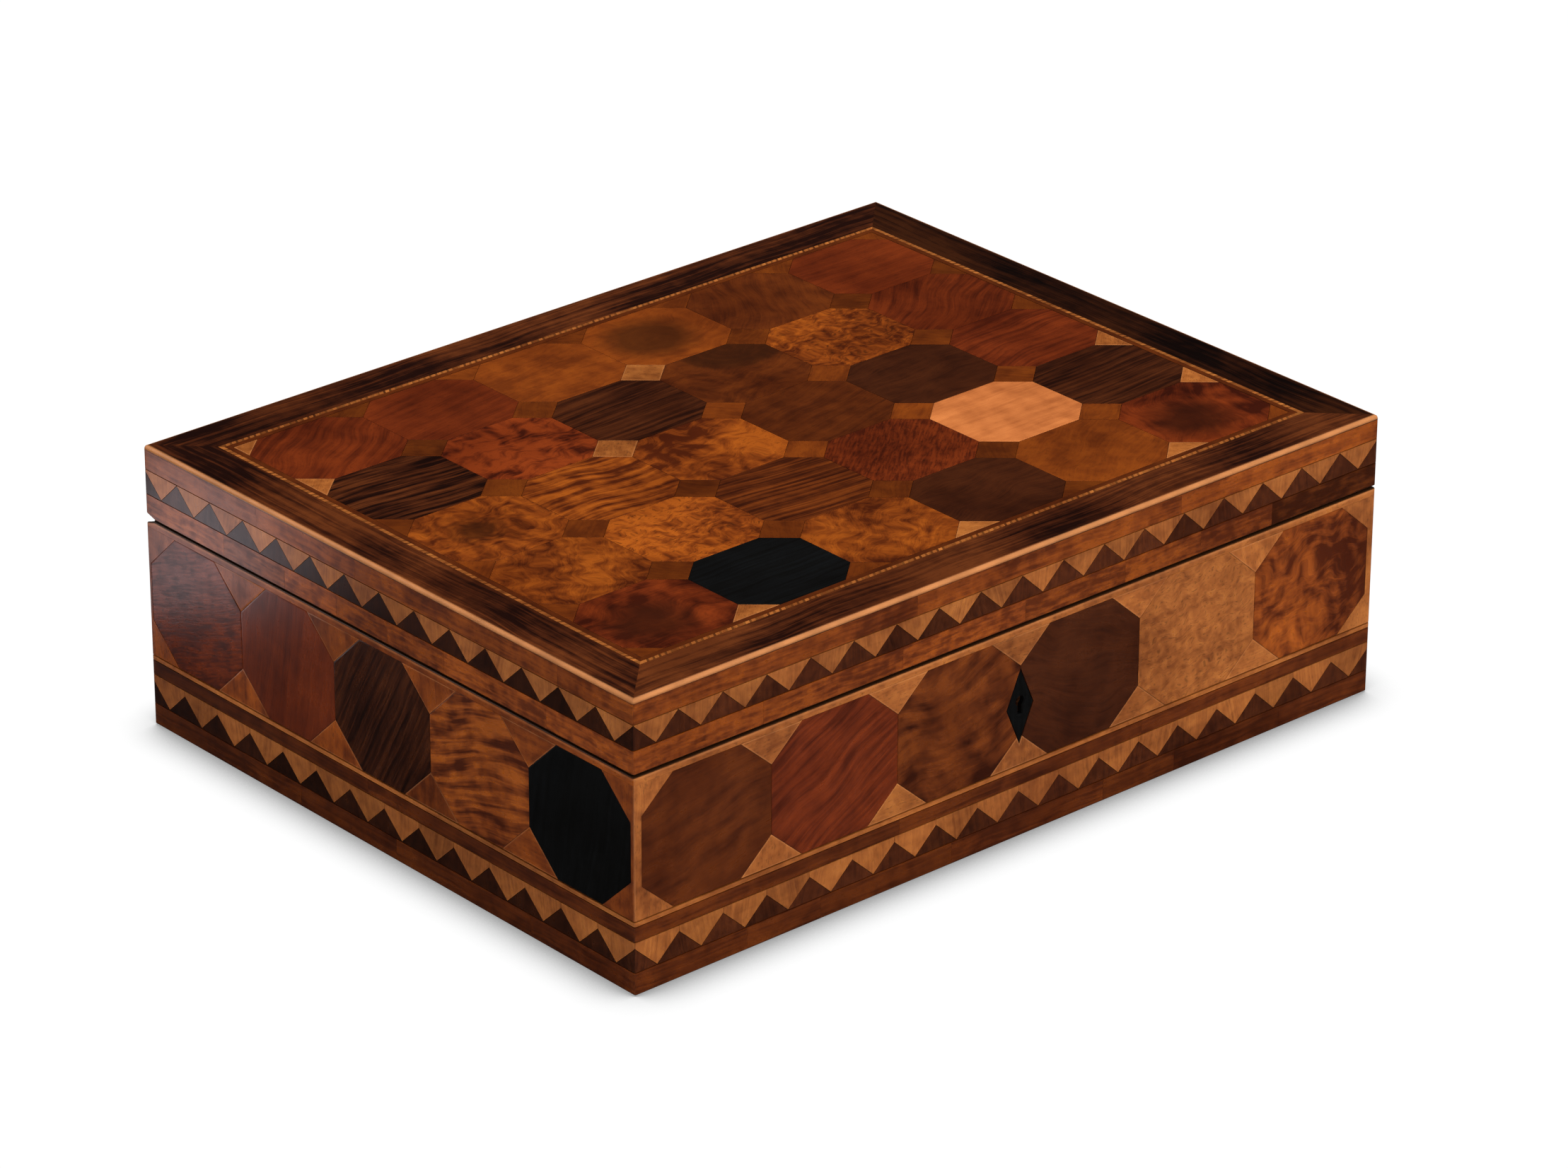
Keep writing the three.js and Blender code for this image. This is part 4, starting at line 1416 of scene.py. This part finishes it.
def makeEscutcheon():
    half, tall = lozenge["width"] / 2, lozenge["height"] / 2
    centre = lozenge["centre"]
    outline = [(0, centre - tall), (half, centre), (0, centre + tall), (-half, centre)]
    outer = [(*point, -keyhole["edge"], 1) for point in inset(outline, lozenge["gap"])]
    inner = [(*point, 0, 0) for point in inset(outline, lozenge["gap"] + keyhole["edge"])]
    holeTop = [(*point, 0, 0) for point in keyholeOutline(keyhole["bevel"])]
    holeLow = [(*point, -keyhole["bevel"], 1) for point in keyholeOutline(0)]
    faces = []
    for first, second in ((outer, inner), (holeTop, holeLow)):
        for index in range(len(first)):
            faces.append([first[index - 1], first[index], second[index], second[index - 1]])
    faces = faces[:len(outer)] + [face[::-1] for face in faces[len(outer):]]
    rings = inner + holeTop
    flat = [[Vector((*point[:2], 0)) for point in ring] for ring in (inner, holeTop)]
    for triangle in tessellate_polygon(flat):
        points = [rings[index] for index in triangle]
        area = ((points[1][0] - points[0][0]) * (points[2][1] - points[0][1])
                - (points[1][1] - points[0][1]) * (points[2][0] - points[0][0]))
        faces.append(points if area > 0 else points[::-1])
    piece = newPiece("escutcheon")
    addSlip(piece, faces, onSide("front"), angle=90, centre=(0, centre))
    finishPiece("escutcheon_lozenge", piece, "base", materials["ebony"], "ebony_wood",
                ["escutcheon"])


makeEscutcheon()
print("boards, brass and escutcheon made")

# Where something stands that looks along a direction
def looking(place, direction):
    turned = Vector(direction).to_track_quat("-Z", "Y").to_matrix().to_4x4()
    return Matrix.Translation(place) @ turned


# Camera at the photograph's angle
view = {
    "place": (-1.2688, -1.4469, 0.9631),
    "towards": (0.59731, 0.67659, -0.43063),
    "roll": 0.2,
    "lens": 150.38,
}
cameraData = bpy.data.cameras.new("camera")
cameraData.lens = view["lens"]
cameraData.sensor_width = 36
cameraData.clip_start = 0.05
camera = bpy.data.objects.new("camera", cameraData)
roll = Matrix.Rotation(math.radians(view["roll"]), 4, "Z")
camera.matrix_world = looking(view["place"], view["towards"]) @ roll
bpy.context.scene.collection.objects.link(camera)
bpy.context.scene.camera = camera

# Soft studio light: area lights, in watts, with sizes in metres. glossy says which of them
# show in the polish; the key light is split so that it lights more than it shines
keyPlace = (0.5, -1.6, 1.3)
lights = {
    "key": {"place": keyPlace, "size": 1.2, "power": 29, "colour": (1, 0.97, 0.93), "glossy": False},
    "glint": {"place": keyPlace, "size": 1.2, "power": 7, "colour": (1, 0.97, 0.93), "glossy": True},
    "overhead": {"place": (0.1, 0.1, 2.0), "size": 2.0, "power": 36, "colour": (1, 1, 1),
                 "glossy": False},
    "left": {"place": (-1.7, -0.3, 1.0), "size": 1.0, "power": 5, "colour": (1, 0.97, 0.94),
             "glossy": True},
    "back": {"place": (-0.8, 1.6, 0.9), "size": 1.0, "power": 7, "colour": (1, 0.98, 0.95),
             "glossy": True},
}
# A small pale card that only shows as a soft sheen on the back of the left side
sheen = {"place": (-0.225, 0.185, 0.03), "towards": (-0.158, 0.1, 0.06), "size": 0.06,
         "power": 0.035, "colour": (0.95, 0.88, 0.95)}


def addLight(name, light, direction):
    data = bpy.data.lights.new(name, "AREA")
    data.size = light["size"]
    data.energy = light["power"]
    data.color = light["colour"]
    lamp = bpy.data.objects.new(name, data)
    lamp.matrix_world = looking(light["place"], direction)
    bpy.context.scene.collection.objects.link(lamp)
    return lamp


for name, light in lights.items():
    lamp = addLight(name, light, -Vector(light["place"]))
    lamp.visible_glossy = light["glossy"]
card = addLight("sheen", sheen, Vector(sheen["towards"]) - Vector(sheen["place"]))
card.visible_diffuse = False
card.visible_camera = False

# What the world around the box gives: light, and a dim grey that shows in the polish
around = {"light": (0.3, 0.3, 0.31, 1), "reflected": (0.03, 0.03, 0.03, 1)}
world = bpy.data.worlds.new("studio")
bpy.context.scene.world = world
world.use_nodes = True
worldTree = world.node_tree
path = addNode(worldTree, "LightPath").outputs
worldColour = mixColour(worldTree, path["Is Glossy Ray"], around["light"], around["reflected"])
worldColour = mixColour(worldTree, path["Is Camera Ray"], worldColour, white)
worldTree.links.new(worldColour, worldTree.nodes["Background"].inputs["Color"])
bpy.context.scene.view_settings.view_transform = "Standard"

floorMesh = bpy.data.meshes.new("floor")
reach = 4
floorLevel = -0.1 * mm
floorMesh.from_pydata(
    [(x * reach, y * reach, floorLevel) for x, y in ((-1, -1), (1, -1), (1, 1), (-1, 1))],
    [], [(0, 1, 2, 3)])
floor = bpy.data.objects.new("floor", floorMesh)
# The floor glows evenly for camera rays and only darkens close to the box, in a painted contact shadow, as
# the backdrop of the photograph
floorTone = {"shadowReach": 0.02, "depth": 0.65, "curve": 1.6, "bounce": (0.93, 0.94, 0.95, 1)}
floorPaint, floorTree, floorShader = newMaterial("floor")
floorShader.inputs["Base Color"].default_value = floorTone["bounce"]
floorShader.inputs["Roughness"].default_value = 0.9
openness = addNode(
    floorTree, "AmbientOcclusion", {"Distance": floorTone["shadowReach"]}, samples=16)
closed = calc(floorTree, "MULTIPLY_ADD", openness.outputs["AO"], -2, 2, clamp=True)
shade = calc(floorTree, "POWER", closed, floorTone["curve"])
level = calc(floorTree, "MULTIPLY_ADD", shade, -floorTone["depth"], 1.02)
glowing = addNode(floorTree, "Emission", {"Strength": level})
seen = addNode(floorTree, "LightPath").outputs["Is Camera Ray"]
mixed = addNode(floorTree, "MixShader", {0: seen, 1: floorShader.outputs[0], 2: glowing.outputs[0]})
floorTree.links.new(mixed.outputs[0], floorTree.nodes["Material Output"].inputs["Surface"])
floorMesh.materials.append(floorPaint)
bpy.context.scene.collection.objects.link(floor)
floor.visible_glossy = False
floor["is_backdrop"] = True

low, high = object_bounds()
print("scene ready")
